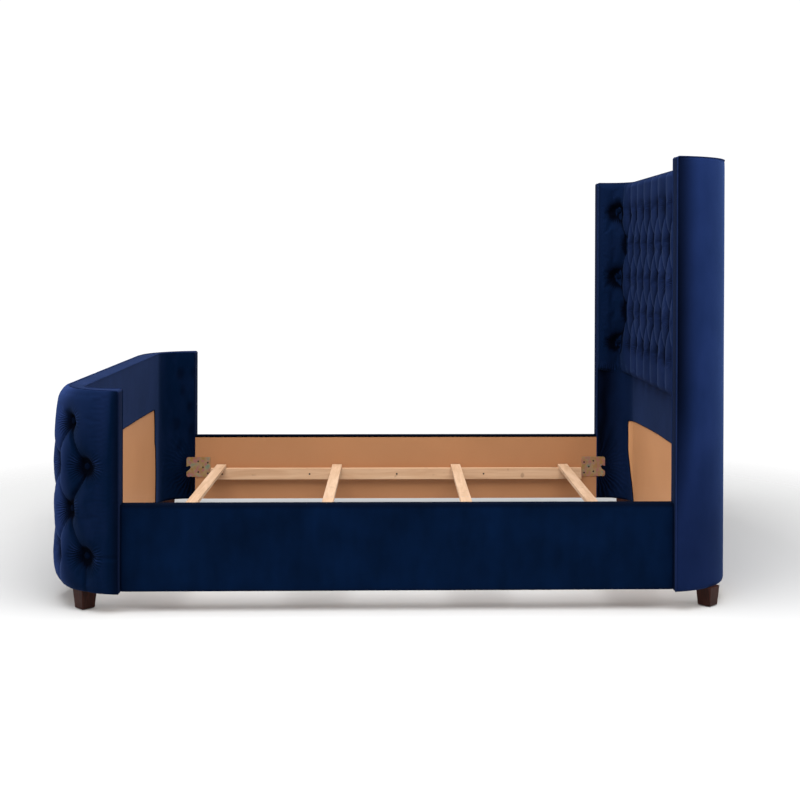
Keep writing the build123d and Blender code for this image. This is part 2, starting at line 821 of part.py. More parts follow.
with BuildPart() as leg_bolts:
    with BuildSketch(Plane.XY.offset(underside_height - leg_bolt_in_leg)):
        with Locations(*all_leg_places.values()):
            Circle(leg_bolt_radius)
    extrude(amount=leg_bolt_length)
finish(leg_bolts, "leg_bolts")

with BuildPart() as leg_glides:
    with BuildSketch():
        with Locations(*all_leg_places.values()):
            Circle(glide_radius)
    extrude(amount=glide_thickness)
finish(leg_glides, "leg_glides")

# Slats, loose on the cleats; the middle two stand on a prop with a levelling foot
for index, share in enumerate(slat_place_shares, start=1):
    along = bay_centre + share * bay_half
    with BuildPart() as slat:
        with BuildSketch(Plane.XY.offset(cleat_top)):
            with Locations((along, 0)):
                Rectangle(slat_width, 2 * (half_clear - slat_end_gap))
        extrude(amount=slat_thickness)
        fillet(slat.edges().filter_by(Axis.Y), slat_edge_radius)
        if index in middle_slats:
            screw_places = [(along + way * prop_screw_pitch / 2, 0) for way in (-1, 1)]
            with Locations(*[(*place, slat_top) for place in screw_places]):
                Cylinder(
                    screw_radius + screw_clearance, slat_thickness,
                    align=(Align.CENTER, Align.CENTER, Align.MAX), mode=Mode.SUBTRACT,
                )
                Cone(
                    screw_radius + screw_clearance, screw_head_radius + screw_clearance, screw_head_height,
                    align=(Align.CENTER, Align.CENTER, Align.MAX), mode=Mode.SUBTRACT,
                )
    finish(slat, f"slat_{index}")
    if index not in middle_slats:
        continue
    prop_foot = foot_pad_height + prop_foot_gap
    with BuildPart() as prop:
        with BuildSketch(Plane.XY.offset(prop_foot)) as section:
            with Locations((along, 0)):
                Rectangle(prop_width, prop_width)
            fillet(section.vertices(), slat_edge_radius)
        extrude(amount=cleat_top - prop_foot)
        with Locations((along, 0, prop_foot)):
            Cylinder(
                foot_stud_radius + foot_stud_clearance, foot_stud_reach + prop_foot_gap,
                align=(Align.CENTER, Align.CENTER, Align.MIN), mode=Mode.SUBTRACT,
            )
        with Locations(*[(*place, cleat_top) for place in screw_places]):
            Cylinder(
                screw_radius + screw_clearance, cleat_screw_length - slat_thickness,
                align=(Align.CENTER, Align.CENTER, Align.MAX), mode=Mode.SUBTRACT,
            )
    finish(prop, f"prop_{index}")

    with BuildPart() as prop_screws:
        with Locations(*[(*place, slat_top) for place in screw_places]):
            Cylinder(screw_radius, cleat_screw_length, align=(Align.CENTER, Align.CENTER, Align.MAX))
            Cone(
                screw_radius, screw_head_radius, screw_head_height,
                align=(Align.CENTER, Align.CENTER, Align.MAX),
            )
    finish(prop_screws, f"prop_screws_{index}")

    with BuildPart() as levelling_foot:
        with BuildSketch(Plane.XZ) as half_section:
            with BuildLine():
                crown = foot_pad_radius / 2
                Polyline(
                    (0, 0), (foot_pad_radius, 0), (foot_pad_radius, foot_pad_rim),
                    (crown, foot_pad_shoulder), (crown, foot_pad_height),
                    (foot_stud_radius, foot_pad_height),
                    (foot_stud_radius, prop_foot + foot_stud_reach), (0, prop_foot + foot_stud_reach),
                    close=True,
                )
            make_face()
        revolve(axis=Axis.Z)
    levelling_foot.part.position = (along, 0, 0)
    finish(levelling_foot, f"levelling_foot_{index}")
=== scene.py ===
"""The looks of the wingback bed: velvet covers, tufted pads, buttons, welts and every finish.

Lengths are in metres, and MM turns millimetres into them."""

import json
import math

import bpy
import numpy as np
from mathutils import Matrix, Vector


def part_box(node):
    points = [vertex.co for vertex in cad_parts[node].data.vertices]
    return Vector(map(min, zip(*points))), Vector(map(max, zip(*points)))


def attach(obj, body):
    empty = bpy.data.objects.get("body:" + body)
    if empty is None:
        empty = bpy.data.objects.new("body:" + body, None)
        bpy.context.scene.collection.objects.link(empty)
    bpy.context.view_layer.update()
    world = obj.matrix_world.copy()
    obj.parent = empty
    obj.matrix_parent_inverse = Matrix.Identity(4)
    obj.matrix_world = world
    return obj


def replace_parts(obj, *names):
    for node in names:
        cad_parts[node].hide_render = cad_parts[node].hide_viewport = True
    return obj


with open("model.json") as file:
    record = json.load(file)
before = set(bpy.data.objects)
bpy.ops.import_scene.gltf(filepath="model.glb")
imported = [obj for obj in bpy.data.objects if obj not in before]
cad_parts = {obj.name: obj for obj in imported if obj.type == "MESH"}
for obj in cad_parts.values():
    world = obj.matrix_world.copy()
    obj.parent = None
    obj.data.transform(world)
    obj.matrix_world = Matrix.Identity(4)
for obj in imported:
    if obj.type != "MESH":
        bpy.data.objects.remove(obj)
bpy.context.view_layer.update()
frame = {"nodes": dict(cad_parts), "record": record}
nodes = frame["nodes"]
BED = "bed"
MM = 0.001

# Sizes read from the frame
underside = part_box("head_panel_frame")[0].z
head_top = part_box("head_edge_band")[1].z
foot_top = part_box("foot_edge_band")[1].z
head_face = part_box("head_outer_cover")[1].x
foot_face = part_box("foot_edge_band")[0].x
wing_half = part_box("head_edge_band")[1].y
rail_low, rail_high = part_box("rail_cover_right")
rail_top = rail_high.z
half_clear = rail_low.y
shell = wing_half - half_clear
wing_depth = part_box("head_edge_band")[1].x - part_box("head_edge_band")[0].x
plate_low, plate_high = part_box("foot_hook_plate_right")

# Sizes of the walls' plan, the same as in the solids
corner_radius = 250 * MM
inner_radius = 110 * MM
fabric = 2 * MM
arc_centre = wing_half - math.sqrt(corner_radius**2 - (corner_radius - wing_depth) ** 2)
flat_half = half_clear - inner_radius
wing_angle = math.acos((corner_radius - wing_depth) / corner_radius)
outer_run = arc_centre + corner_radius * wing_angle
inner_run = flat_half + inner_radius * math.pi / 2 + wing_depth - shell - inner_radius

# Pads
head_pad_depth = 30 * MM
head_wing_pad_depth = 20 * MM
head_pad_radius = 60 * MM
head_pad_start = shell + head_pad_depth
head_pad_half = half_clear - head_wing_pad_depth - head_pad_radius
head_pad_foot = 655 * MM
foot_pad_depth = 53 * MM
foot_pad_edge = 6 * MM
foot_top_roll = 180 * MM
foot_bottom_roll = 80 * MM
foot_bottom_step = 30 * MM
button_radius = 11.5 * MM
grid_step = 7.6 * MM
pad_top_gap = 1 * MM
rim_free, rim_held = 24 * MM, 10 * MM
head_spare, foot_spare = 1 * MM, 1.2 * MM
head_pad_hang, head_pad_sag = 4 * MM, 18 * MM
head_rolls = dict(front=(17 * MM, 26 * MM), top=(27 * MM, 26 * MM), foot=(28 * MM, 34 * MM))
valley_width = 8 * MM
wing_mark, wing_full = 700 * MM, 750 * MM
button_dome = 4 * MM
button_lift = 1.5 * MM
button_depth_share = 0.85

# Cloth and trim
cover_cloth, band_cloth, lining_cloth = 1.0 * MM, 1.2 * MM, 2.6 * MM
welt_radius, welt_sink = 2.3 * MM, 0.2 * MM
band_round = 7 * MM
rail_board = 25 * MM
rail_wrap = 4 * MM


class End:
    """The headboard or the footboard: local depth, reach and height become places on the bed.

    Depth runs from the outer face towards the mattress and reach from the middle to +Y."""

    def __init__(self, name, face, turn, top):
        self.name, self.face, self.turn, self.top = name, face, turn, top

    def place(self, depth, reach, height):
        return np.stack(np.broadcast_arrays(self.face + self.turn * depth, reach, height), axis=-1)

    def direction(self, depth, reach, height=0.0):
        return np.stack(np.broadcast_arrays(self.turn * depth, reach, height), axis=-1)


HEAD = End("head", head_face, -1, head_top)
FOOT = End("foot", foot_face, 1, foot_top)


def outer_path(along, inset=0.0):
    """Depth, reach and outward direction at a distance along the outer outline from its middle.

    Up to the arc's start the wall is flat. Past it the angle is the distance past the start over the
    corner's radius, and the point lies that far round the corner's circle."""
    side = np.where(along < 0, -1.0, 1.0)
    flat = np.minimum(np.abs(along), arc_centre)
    angle = (np.abs(along) - flat) / corner_radius
    depth = corner_radius - (corner_radius - inset) * np.cos(angle)
    reach = side * (flat + (corner_radius - inset) * np.sin(angle))
    return depth, reach, -np.cos(angle), side * np.sin(angle)


def inner_path(along, start=shell, half=flat_half, radius=inner_radius):
    """Depth, reach and inward direction along an inner outline: flat, a quarter round, then straight."""
    side = np.where(along < 0, -1.0, 1.0)
    flat = np.minimum(np.abs(along), half)
    past = np.abs(along) - flat
    round_in = np.minimum(past, radius * math.pi / 2)
    angle = round_in / radius
    depth = start + radius * (1 - np.cos(angle)) + past - round_in
    reach = side * (flat + radius * np.sin(angle))
    return depth, reach, np.cos(angle), -side * np.sin(angle)


def smooth(low, high, value):
    """A share that rises from 0 at low to 1 at high: three times its square less twice its cube."""
    share = np.clip((value - low) / (high - low), 0, 1)
    return share * share * (3 - 2 * share)


def dome(share):
    """The height of a quarter circle at a share of its run: the root of one less the rest squared."""
    rest = 1 - np.clip(share, 0, 1)
    return np.sqrt(np.clip(1 - rest * rest, 0, 1))


def rolled(distance, deep, wide):
    """How far a rounded edge falls back: its depth times one less a quarter circle over its width."""
    return deep * (1 - dome(distance / wide))


def fade(distance, width, power=1):
    """A share that falls from 1: e to the minus of the distance over the width, to a power."""
    return np.exp(-((distance / width) ** power))


def both_sides(half, mirror):
    """A line from one side to the middle, and its mirror image back out to the other side."""
    return np.concatenate([half, (half * mirror)[-2::-1]])


def ripple(first, second, seed, coarse=0.12, count=5):
    """Gentle unevenness between -1 and 1: a mean of sine waves whose directions come from a seed."""
    random = np.random.default_rng(seed)
    total = np.zeros(np.broadcast(first, second).shape)
    for _ in range(count):
        turn, start = random.uniform(0, 2 * math.pi, 2)
        wave = coarse * random.uniform(0.6, 1.6)
        total += np.sin(2 * math.pi * (first * math.cos(turn) + second * math.sin(turn)) / wave + start)
    return total / count


def normals_of(points):
    """Unit normals of a grid of points: the cross product of its differences along both ways."""
    down = np.gradient(points, axis=0)
    across = np.gradient(points, axis=1)
    normal = np.cross(down, across)
    return normal / np.maximum(np.linalg.norm(normal, axis=-1, keepdims=True), 1e-12)


def grid_faces(rows, columns, closed=False):
    """Quads of a grid of points, closed round its columns if asked."""
    index = np.arange(rows * columns).reshape(rows, columns)
    if closed:
        index = np.concatenate([index, index[:, :1]], axis=1)
    quads = np.stack([index[:-1, :-1], index[1:, :-1], index[1:, 1:], index[:-1, 1:]], axis=-1)
    return quads.reshape(-1, 4).tolist()


def make_piece(name, points, faces, material, slot, body=BED, **marks):
    """A mesh object made of points and faces that faces outwards and rides on a body.

    Each mark is a number for each point, which the materials read: the shading number, painted shade
    from 0 to 1, or painted light where it is below 0; the black-green number, how far the colour goes to a
    black green, partly for the lie of the velvet's fibres and partly as painted shade; fan, how much fine
    creases show; turn, their angle."""
    mesh = bpy.data.meshes.new(name)
    mesh.from_pydata(np.asarray(points).reshape(-1, 3).tolist(), [], faces)
    mesh.polygons.foreach_set("use_smooth", [True] * len(mesh.polygons))
    for mark, values in marks.items():
        numbers = np.ascontiguousarray(values, dtype=np.float32).ravel()
        mesh.attributes.new(mark, "FLOAT", "POINT").data.foreach_set("value", numbers)
    mesh.update()
    piece = bpy.data.objects.new(name, mesh)
    bpy.context.scene.collection.objects.link(piece)
    mesh.materials.append(material)
    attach(piece, body)
    return piece


def outward(points, faces, directions):
    """The faces as they are, or all turned over where the grid's normals run against the directions."""
    agree = float(np.sum(normals_of(points) * directions))
    return faces if agree > 0 else [face[::-1] for face in faces]


def thicken(piece, thickness):
    """A sheet gets a wall behind its outer side."""
    wall = piece.modifiers.new("wall", "SOLIDIFY")
    wall.thickness = thickness
    wall.offset = -1
    return piece


# Materials


class Wire:
    """A number that varies over a surface. Sums, products and the like of wires become Math nodes."""

    def __init__(self, tree, socket):
        self.tree, self.socket = tree, socket

    def math(self, operation, *others, clamp=False):
        node = self.tree.nodes.new("ShaderNodeMath")
        node.operation = operation
        node.use_clamp = clamp
        for entry, value in zip(node.inputs, (self, *others)):
            if isinstance(value, Wire):
                self.tree.links.new(value.socket, entry)
            else:
                entry.default_value = value
        return Wire(self.tree, node.outputs[0])

    def __add__(self, other):
        return self.math("ADD", other)

    def __sub__(self, other):
        return self.math("SUBTRACT", other)

    def __rsub__(self, other):
        return self * -1.0 + other

    def __mul__(self, other):
        return self.math("MULTIPLY", other)

    def __truediv__(self, other):
        return self.math("DIVIDE", other)

    def __rtruediv__(self, other):
        return self.math("POWER", -1.0) * other

    __radd__ = __add__
    __rmul__ = __mul__

    def clamp(self):
        return self.math("ADD", 0.0, clamp=True)


class Paint:
    """A material under construction: its shader, its coordinates and the nodes added so far."""

    def __init__(self, name):
        self.material = bpy.data.materials.new(name)
        self.material.use_nodes = True
        self.tree = self.material.node_tree
        self.shader = self.tree.nodes["Principled BSDF"]
        self.place = self.tree.nodes.new("ShaderNodeTexCoord").outputs["Object"]

    def join(self, entry, value):
        if isinstance(value, Wire):
            self.tree.links.new(value.socket, entry)
        elif isinstance(value, bpy.types.NodeSocket):
            self.tree.links.new(value, entry)
        else:
            entry.default_value = value

    def fill(self, node, inputs):
        """Gives a node its inputs by name, with underscores for spaces."""
        for key, value in inputs.items():
            self.join(node.inputs[key.replace("_", " ")], value)

    def node(self, kind, output=0, settings=None, **inputs):
        """Any node with its settings and inputs. Gives one of its outputs as a wire."""
        node = self.tree.nodes.new(kind)
        for key, value in (settings or {}).items():
            setattr(node, key, value)
        self.fill(node, inputs)
        return Wire(self.tree, node.outputs[output])

    def stretched(self, scales):
        """The object's coordinates, scaled along each axis."""
        return self.node("ShaderNodeMapping", Vector=self.place, Scale=scales)

    def noise(self, scale, detail=2.0, place=None, roughness=0.5):
        return self.node(
            "ShaderNodeTexNoise", Vector=place or self.place, Scale=scale, Detail=detail, Roughness=roughness
        )

    def mix(self, share, first, second):
        """A colour between two colours."""
        node = self.tree.nodes.new("ShaderNodeMix")
        node.data_type = "RGBA"
        self.join(node.inputs[0], share)
        for entry, value in zip((node.inputs[6], node.inputs[7]), (first, second)):
            self.join(entry, value if isinstance(value, Wire) else (*value, 1.0))
        return Wire(self.tree, node.outputs[2])

    def bump(self, height, distance, strength=1.0):
        return self.node("ShaderNodeBump", Height=height, Distance=distance, Strength=strength)

    def over(self, share, **values):
        """A second matt shader that covers the first by a share."""
        second = self.node("ShaderNodeBsdfPrincipled", **values)
        blend = self.node("ShaderNodeMixShader")
        mixer = blend.socket.node
        for entry, value in zip(mixer.inputs, (share, self.shader.outputs[0], second)):
            self.join(entry, value)
        self.join(self.tree.nodes["Material Output"].inputs["Surface"], blend)

    def finish(self, normal=None, **values):
        self.fill(self.shader, values)
        if normal is not None:
            self.join(self.shader.inputs["Normal"], normal)
        return self.material


def velvet(name, deep, light, sheen=0.2, tint=(0.2, 0.36, 0.85)):
    """Cut velvet: a matt dye with a sheen at grazing angles, clouded at random where its fibres lean.

    The points' own shading number lays painted shade over it in dimples and beside seams, down to near
    black, and painted light, paler, where it is below 0. Fine creases are the sine of forty times the turn
    round a button, as strong as the points' fan says; they show as bumps and as stripes of painted light
    and shade."""
    paint = Paint(name)
    pile, nap, fan, turn = (
        paint.node("ShaderNodeAttribute", output=2, settings={"attribute_name": mark})
        for mark in ("pile", "nap", "fan", "turn")
    )
    creases = (turn * 40.0 + paint.noise(28.0) * 9.0).math("SINE") * fan
    # The fine creases also add stripes of painted light and shade to the shading number.
    pile = pile + creases * 0.7
    cloud = paint.noise(5.0, 3.0)
    brushed = paint.noise(22.0, 2.0, paint.stretched((1.0, 1.0, 0.35)))
    lean = (cloud * 0.65 + brushed * 0.35 - 0.5) * 1.9 + 0.5
    colour = paint.mix(lean.clamp(), deep, light)
    # Towards a black green: partly for the lie of the velvet's fibres, partly painted shade on the wings.
    colour = paint.mix((nap + (brushed - 0.5) * nap).clamp(), colour, (0.0001, 0.0044, 0.0185))
    # Below 0 the shading number paints light: the colour goes towards more than twice its light colour.
    colour = paint.mix((pile * -1.0).clamp(), colour, tuple(2.2 * part for part in light))
    fibres = paint.noise(1400.0, 2.0)
    crush = paint.noise(60.0, 3.0)
    normal = paint.bump(fibres + crush * 2.0 - creases * 9.0, 0.5 * MM, 0.35)
    # Painted shade: a near-black matt shader laid over the velvet as far as the shading number says.
    paint.over(
        pile.clamp(), Base_Color=(0.0001, 0.0007, 0.0034, 1.0), Roughness=0.9, Specular_IOR_Level=0.02,
        Normal=normal,
    )
    return paint.finish(
        normal, Base_Color=colour, Roughness=0.85, Sheen_Weight=sheen, Sheen_Roughness=0.4,
        Sheen_Tint=(*tint, 1.0), Specular_IOR_Level=0.02,
    )


def timber(name, along, dark, light, roughness=0.55, scale=1.0, bump=0.3, specular=0.3, knots=0.0):
    """Sawn and planed wood: rings stretched along an axis, with fine pores. Knots stand where a noise
    is at its highest, as dark as knots says."""
    paint = Paint(name)
    stretch = [14.0 * scale] * 3
    stretch[along] = 1.1 * scale
    place = paint.stretched(tuple(stretch))
    warp = paint.noise(1.6, 3.0, place)
    rings = paint.node("ShaderNodeTexNoise", Vector=place, Scale=3.2, Detail=4.0, Distortion=1.2)
    fine = [260.0] * 3
    fine[along] = 9.0
    pores = paint.noise(1.0, 2.0, paint.stretched(tuple(fine)))
    share = (rings * 1.5 + warp * 0.5 + pores * 0.3 - 0.72).clamp()
    colour = paint.mix(share, dark, light)
    if knots:
        high = ((paint.noise(31.0, 0.0) - 0.745) * 14.0).clamp() * knots
        colour = paint.mix(high, colour, tuple(0.4 * part for part in dark))
    return paint.finish(
        paint.bump(pores + rings, 0.25 * MM, bump), Base_Color=colour, Roughness=roughness,
        Specular_IOR_Level=specular,
    )


def fibreboard(name, dark, light):
    """Tan hardboard: nearly even, with short fibres and a faint waxy face."""
    paint = Paint(name)
    cloud = paint.noise(3.0, 3.0)
    fibres = paint.noise(240.0, 3.0)
    share = (cloud * 0.9 + fibres * 0.35 - 0.15).clamp()
    return paint.finish(
        paint.bump(fibres, 0.15 * MM, 0.3), Base_Color=paint.mix(share, dark, light), Roughness=0.6,
        Specular_IOR_Level=0.3,
    )


def zinc(name):
    """Yellow zinc plate: gold that drifts to rose and green."""
    paint = Paint(name)
    drift = paint.noise(38.0, 2.0)
    second = paint.noise(61.0, 2.0, paint.stretched((1.0, 1.3, 0.8)))
    gold = paint.mix(((drift - 0.4) * 4.0).clamp(), (0.37, 0.235, 0.09), (0.42, 0.33, 0.19))
    rosy = paint.mix(((second - 0.47) * 6.0).clamp(), gold, (0.42, 0.19, 0.18))
    colour = paint.mix(((drift - 0.58) * 7.0).clamp(), rosy, (0.19, 0.31, 0.22))
    return paint.finish(
        paint.bump(paint.noise(300.0), 0.1 * MM, 0.2), Base_Color=colour, Metallic=0.85, Roughness=0.42
    )


def plain(name, colour, roughness, metallic=0.0):
    """One colour with a faint unevenness in its gloss."""
    paint = Paint(name)
    gloss = paint.noise(90.0, 2.0) * 0.12 + (roughness - 0.06)
    return paint.finish(Base_Color=(*colour, 1.0), Roughness=gloss, Metallic=metallic)


look = {
    "velvet_pale": velvet("velvet_pale", (0.0045, 0.0135, 0.058), (0.0095, 0.0225, 0.092), 0.24),
    "velvet": velvet("velvet", (0.0028, 0.0072, 0.029), (0.0072, 0.0150, 0.055), 0.09),
    "velvet_dark": velvet("velvet_dark", (0.0001, 0.0031, 0.0125), (0.0010, 0.0082, 0.0345), 0.03),
    "board": fibreboard("board", (0.42, 0.195, 0.083), (0.53, 0.262, 0.12)),
    "board_rail": fibreboard("board_rail", (0.30, 0.134, 0.055), (0.39, 0.182, 0.08)),
    "frame_timber": timber("frame_timber", 2, (0.42, 0.25, 0.12), (0.6, 0.4, 0.22)),
    "pine_x": timber("pine_x", 0, (0.42, 0.245, 0.135), (0.56, 0.37, 0.235), knots=0.5),
    "pine_y": timber("pine_y", 1, (0.43, 0.265, 0.155), (0.66, 0.46, 0.315), knots=0.4),
    "pine_z": timber("pine_z", 2, (0.52, 0.31, 0.17), (0.68, 0.46, 0.29)),
    "walnut": timber("walnut", 2, (0.010, 0.0035, 0.003), (0.052, 0.016, 0.011), roughness=0.5, scale=2.5,
                     specular=0.1),
    "zinc": zinc("zinc"),
    "steel": plain("steel", (0.34, 0.31, 0.27), 0.4, metallic=1.0),
    "dark_screw": plain("dark_screw", (0.05, 0.036, 0.03), 0.55, metallic=0.6),
    "glide": plain("glide", (0.02, 0.02, 0.02), 0.5),
}


def dress_frame():
    """Gives every rigid node of the frame its finish."""
    for row in frame["record"]["subparts"]:
        node, slot = row["node"], row["material_slot"]
        finish = "velvet" if slot == "foam_velvet" else slot
        if node.startswith("rail_board"):
            finish = "board_rail"
        if node in ("hook_plate_screws", "cleat_screws"):
            finish = "dark_screw"
        if slot == "pine":
            finish = "pine_x" if "cleat" in node else "pine_y" if node.startswith("slat") else "pine_z"
        mesh = nodes[node].data
        mesh.materials.clear()
        mesh.materials.append(look[finish])


dress_frame()


# Tufting


def chance(first, second):
    """A number from 0 to 1 for each pair of numbers: the far decimals of a large sine."""
    return np.mod(np.sin(first * 12.9898 + second * 78.233) * 43758.5453, 1.0)


def nearest_button(column, row, grid):
    """Distance, angle and way down to the nearest button, with that button's own chance number."""
    pitch, row_pitch = grid["pitch"], grid["row_pitch"]
    middle = np.clip(np.round(row), 0, grid["rows"] - 1)
    best = np.full(np.shape(column), 9.0)
    angle, lean, luck = np.zeros_like(best), np.zeros_like(best), np.zeros_like(best)
    for step in (-1, 0, 1):
        button_row = np.clip(middle + step, 0, grid["rows"] - 1)
        odd = np.mod(button_row, 2)
        offset = grid["shift"] + 0.5 * odd
        limit = grid["edge"] + grid["edge_swing"] * odd
        button_column = np.clip(np.round(column - offset) + offset, -limit, limit)
        aside = (column - button_column) * pitch
        below = (row - button_row) * row_pitch
        away = np.hypot(aside, below)
        nearer = away < best
        best = np.where(nearer, away, best)
        angle = np.where(nearer, np.arctan2(aside, below), angle)
        lean = np.where(nearer, below / np.maximum(away, 1e-6), lean)
        luck = np.where(nearer, chance(button_column, button_row), luck)
    return best, angle, lean, luck


def tufts(along, height, grid):
    """What tufting does at each place of a pad: how far below the crowns the cloth lies, how deep its
    creases are, how much painted shade lies in its dimples, pleat valleys and fine creases, how firmly
    buttons and pleats hold it, and its fan and turn marks.

    With r counted in rows down from the top buttons and c in columns from the middle, the pleats are the
    lines where c - 1/2 + r/2 or c - 1/2 - r/2 is whole, and the buttons stand where both are. Within a
    row r is bent, as its part to a power, so that pleats leave a button steeply. Past the top and bottom
    rows r is held, so that the pleats run on upright. A pillow is the root of the product of two sines,
    a pleat an exponential dip across its line, and a dimple a wider one round each button. Past the
    outermost zigzag of buttons the cloth is plain. Creases fan out from each button."""
    pitch, row_pitch, rows = grid["pitch"], grid["row_pitch"], grid["rows"]
    sway = grid["sway"] * ripple(along, height, grid["seed"], 0.17)
    lift = grid["sway"] * ripple(along, height, grid["seed"] + 1, 0.2)
    along = along + drawn_in(along, grid)
    column = along / pitch
    row = (grid["first"] - height) / row_pitch
    distance, angle, lean, luck = nearest_button(column, row, grid)
    loose = smooth(0, 50 * MM, distance)
    column = column + sway * loose / pitch
    row = row + lift * loose / row_pitch
    held = np.clip(row, 0, rows - 1)
    whole = np.minimum(np.floor(held), rows - 2)
    held = whole + (held - whole) ** grid["bend"]
    shift = grid["shift"]
    rising = column - shift + held / 2
    falling = column - shift - held / 2
    upright = (row < 0) | (row > rows - 1)
    steep = np.where(upright, 1 / pitch, math.hypot(1 / pitch, 0.5 / row_pitch))
    away_rising = np.abs(rising - np.round(rising)) / steep
    away_falling = np.abs(falling - np.round(falling)) / steep
    away = np.minimum(away_rising, away_falling)
    pillow = np.sqrt(np.abs(np.sin(math.pi * rising) * np.sin(math.pi * falling)))
    pleat_luck = chance(np.round(np.where(away_rising < away_falling, rising, falling)), np.floor(row))

    # The outermost zigzag is a column number that swings by half a pitch from row to row
    swing = 1 - np.abs(np.mod(held, 2) - 1)
    beyond = (np.abs(column) - grid["edge"] - grid["edge_swing"] * swing) / steep
    outer = beyond > 0
    pillow = np.where(outer, smooth(-0.01, grid["shoulder"], beyond), pillow)
    away = np.where(outer, beyond, away)

    near = fade(np.maximum(distance - button_radius, 0), grid["reach"])
    strength = (grid["pleat_rest"] + (1 - grid["pleat_rest"]) * near) * (0.55 + 0.75 * pleat_luck)
    outermost = smooth(grid["edge"] - 0.4, grid["edge"] - 0.2, np.abs(column)) * smooth(0.0, -0.2, row)
    pillow = np.maximum(pillow, outermost)
    strength = strength * (1 - outermost)
    if grid["plain_top"]:
        pillow = np.maximum(pillow, smooth(0, 0.4, -row))
        strength = strength * smooth(-0.22, -0.05, row)
    strength = strength * np.where(outer & upright, 0.0, 1.0)
    pit = fade(np.maximum(distance - button_radius * 0.8, 0), grid["pit"], 1.3)
    crease = fade(away, grid["pleat"], 1.15) * strength
    hollow = grid["depth"] * (
        grid["swell"] * (1 - pillow) * (1 - 0.5 * pit) + (1 - grid["swell"] * 0.5) * pit
        + grid["cut"] * crease * (1 - pit)
    )
    folds = np.abs(np.sin(angle * 6.5 + luck * 7)) ** 0.6 * (0.5 + 0.5 * np.cos(3 * angle + 9 * luck))
    fan = smooth(button_radius, button_radius * 2, distance) * smooth(grid["fan"], 0.03, distance)
    fine = (1 - folds) * fan * (0.6 + 0.4 * lean)
    blur = smooth(button_radius, button_radius * 1.6, distance) * smooth(grid["fan"], 0.03, distance)
    blur = blur * smooth(-1.0, -0.4, lean) * (0.5 + 0.5 * np.cos(2 * angle + 5 * luck))
    valley = fade(away, valley_width, 1.5) * strength
    # Painted shade: dark round each button, out to a wider reach on the wings, dark along the pleat valleys
    # and darker on the fine creases.
    gloom_reach = grid["gloom_reach"] * (1 + grid["wide"] * smooth(wing_mark, wing_full, np.abs(along)))
    painted_shading = grid["gloom"] * fade(distance, gloom_reach, 3) + grid["shade"] * valley + 0.6 * fine
    hold = np.maximum(smooth(button_radius * 1.9, button_radius * 1.1, distance), 0.75 * crease)
    return hollow, grid["folds"] * fine, painted_shading, hold, dict(fan=blur, turn=angle)


def settled(grids, frames=18):
    """Cloth simulations of several grids of points, run together.

    Each grid comes with its holds, from 0 free to 1 held, its pressure, the share by which the cloth is
    larger than the shape that it starts from, and the most that a point may move. Air presses every
    grid outwards between what holds it, and the extra cloth gathers into folds."""
    scene = bpy.context.scene
    pieces = []
    for grid in grids:
        points = grid["points"]
        mesh = bpy.data.meshes.new("cloth")
        mesh.from_pydata(points.reshape(-1, 3).tolist(), [], grid["faces"])
        piece = bpy.data.objects.new("cloth", mesh)
        scene.collection.objects.link(piece)
        group = piece.vertex_groups.new(name="held")
        steps = np.round(grid["hold"].ravel() * 20).astype(int)
        for step in np.unique(steps):
            group.add(np.flatnonzero(steps == step).tolist(), step / 20, "REPLACE")
        cloth = piece.modifiers.new("cloth", "CLOTH")
        settings = cloth.settings
        settings.quality = 6
        settings.tension_stiffness = settings.compression_stiffness = 20
        settings.shear_stiffness = 8
        settings.bending_stiffness = grid["bending"]
        settings.air_damping = 3
        settings.use_pressure = True
        settings.uniform_pressure_force = grid["pressure"]
        settings.vertex_group_mass = "held"
        settings.shrink_min = -grid["extra"]
        settings.effector_weights.gravity = 0
        cloth.point_cache.frame_start, cloth.point_cache.frame_end = 1, frames
        pieces.append(piece)
    for frame_number in range(1, frames + 1):
        scene.frame_set(frame_number)
    graph = bpy.context.evaluated_depsgraph_get()
    results = []
    for piece, grid in zip(pieces, grids):
        points = grid["points"]
        found = np.empty(points.size, dtype=np.float32)
        piece.evaluated_get(graph).data.vertices.foreach_get("co", found)
        moved = found.reshape(points.shape).astype(float) - points
        length = np.linalg.norm(moved, axis=-1, keepdims=True)
        results.append(points + moved * np.minimum(1, grid["most"] / np.maximum(length, 1e-9)))
    for piece in pieces:
        mesh = piece.data
        bpy.data.objects.remove(piece)
        bpy.data.meshes.remove(mesh)
    scene.frame_set(1)
    return results


def refined(values):
    """A grid at twice its fineness both ways: a new point between two is 9/16 of each less 1/16 of the
    next on either side."""
    for axis in (0, 1):
        values = np.moveaxis(values, axis, 0)
        before = np.concatenate([values[:1], values[:-2]])
        after = np.concatenate([values[2:], values[-1:]])
        between = (9 * (values[:-1] + values[1:]) - before - after) / 16
        finer = np.empty((2 * len(values) - 1, *values.shape[1:]))
        finer[0::2], finer[1::2] = values, between
        values = np.moveaxis(finer, 0, axis)
    return values


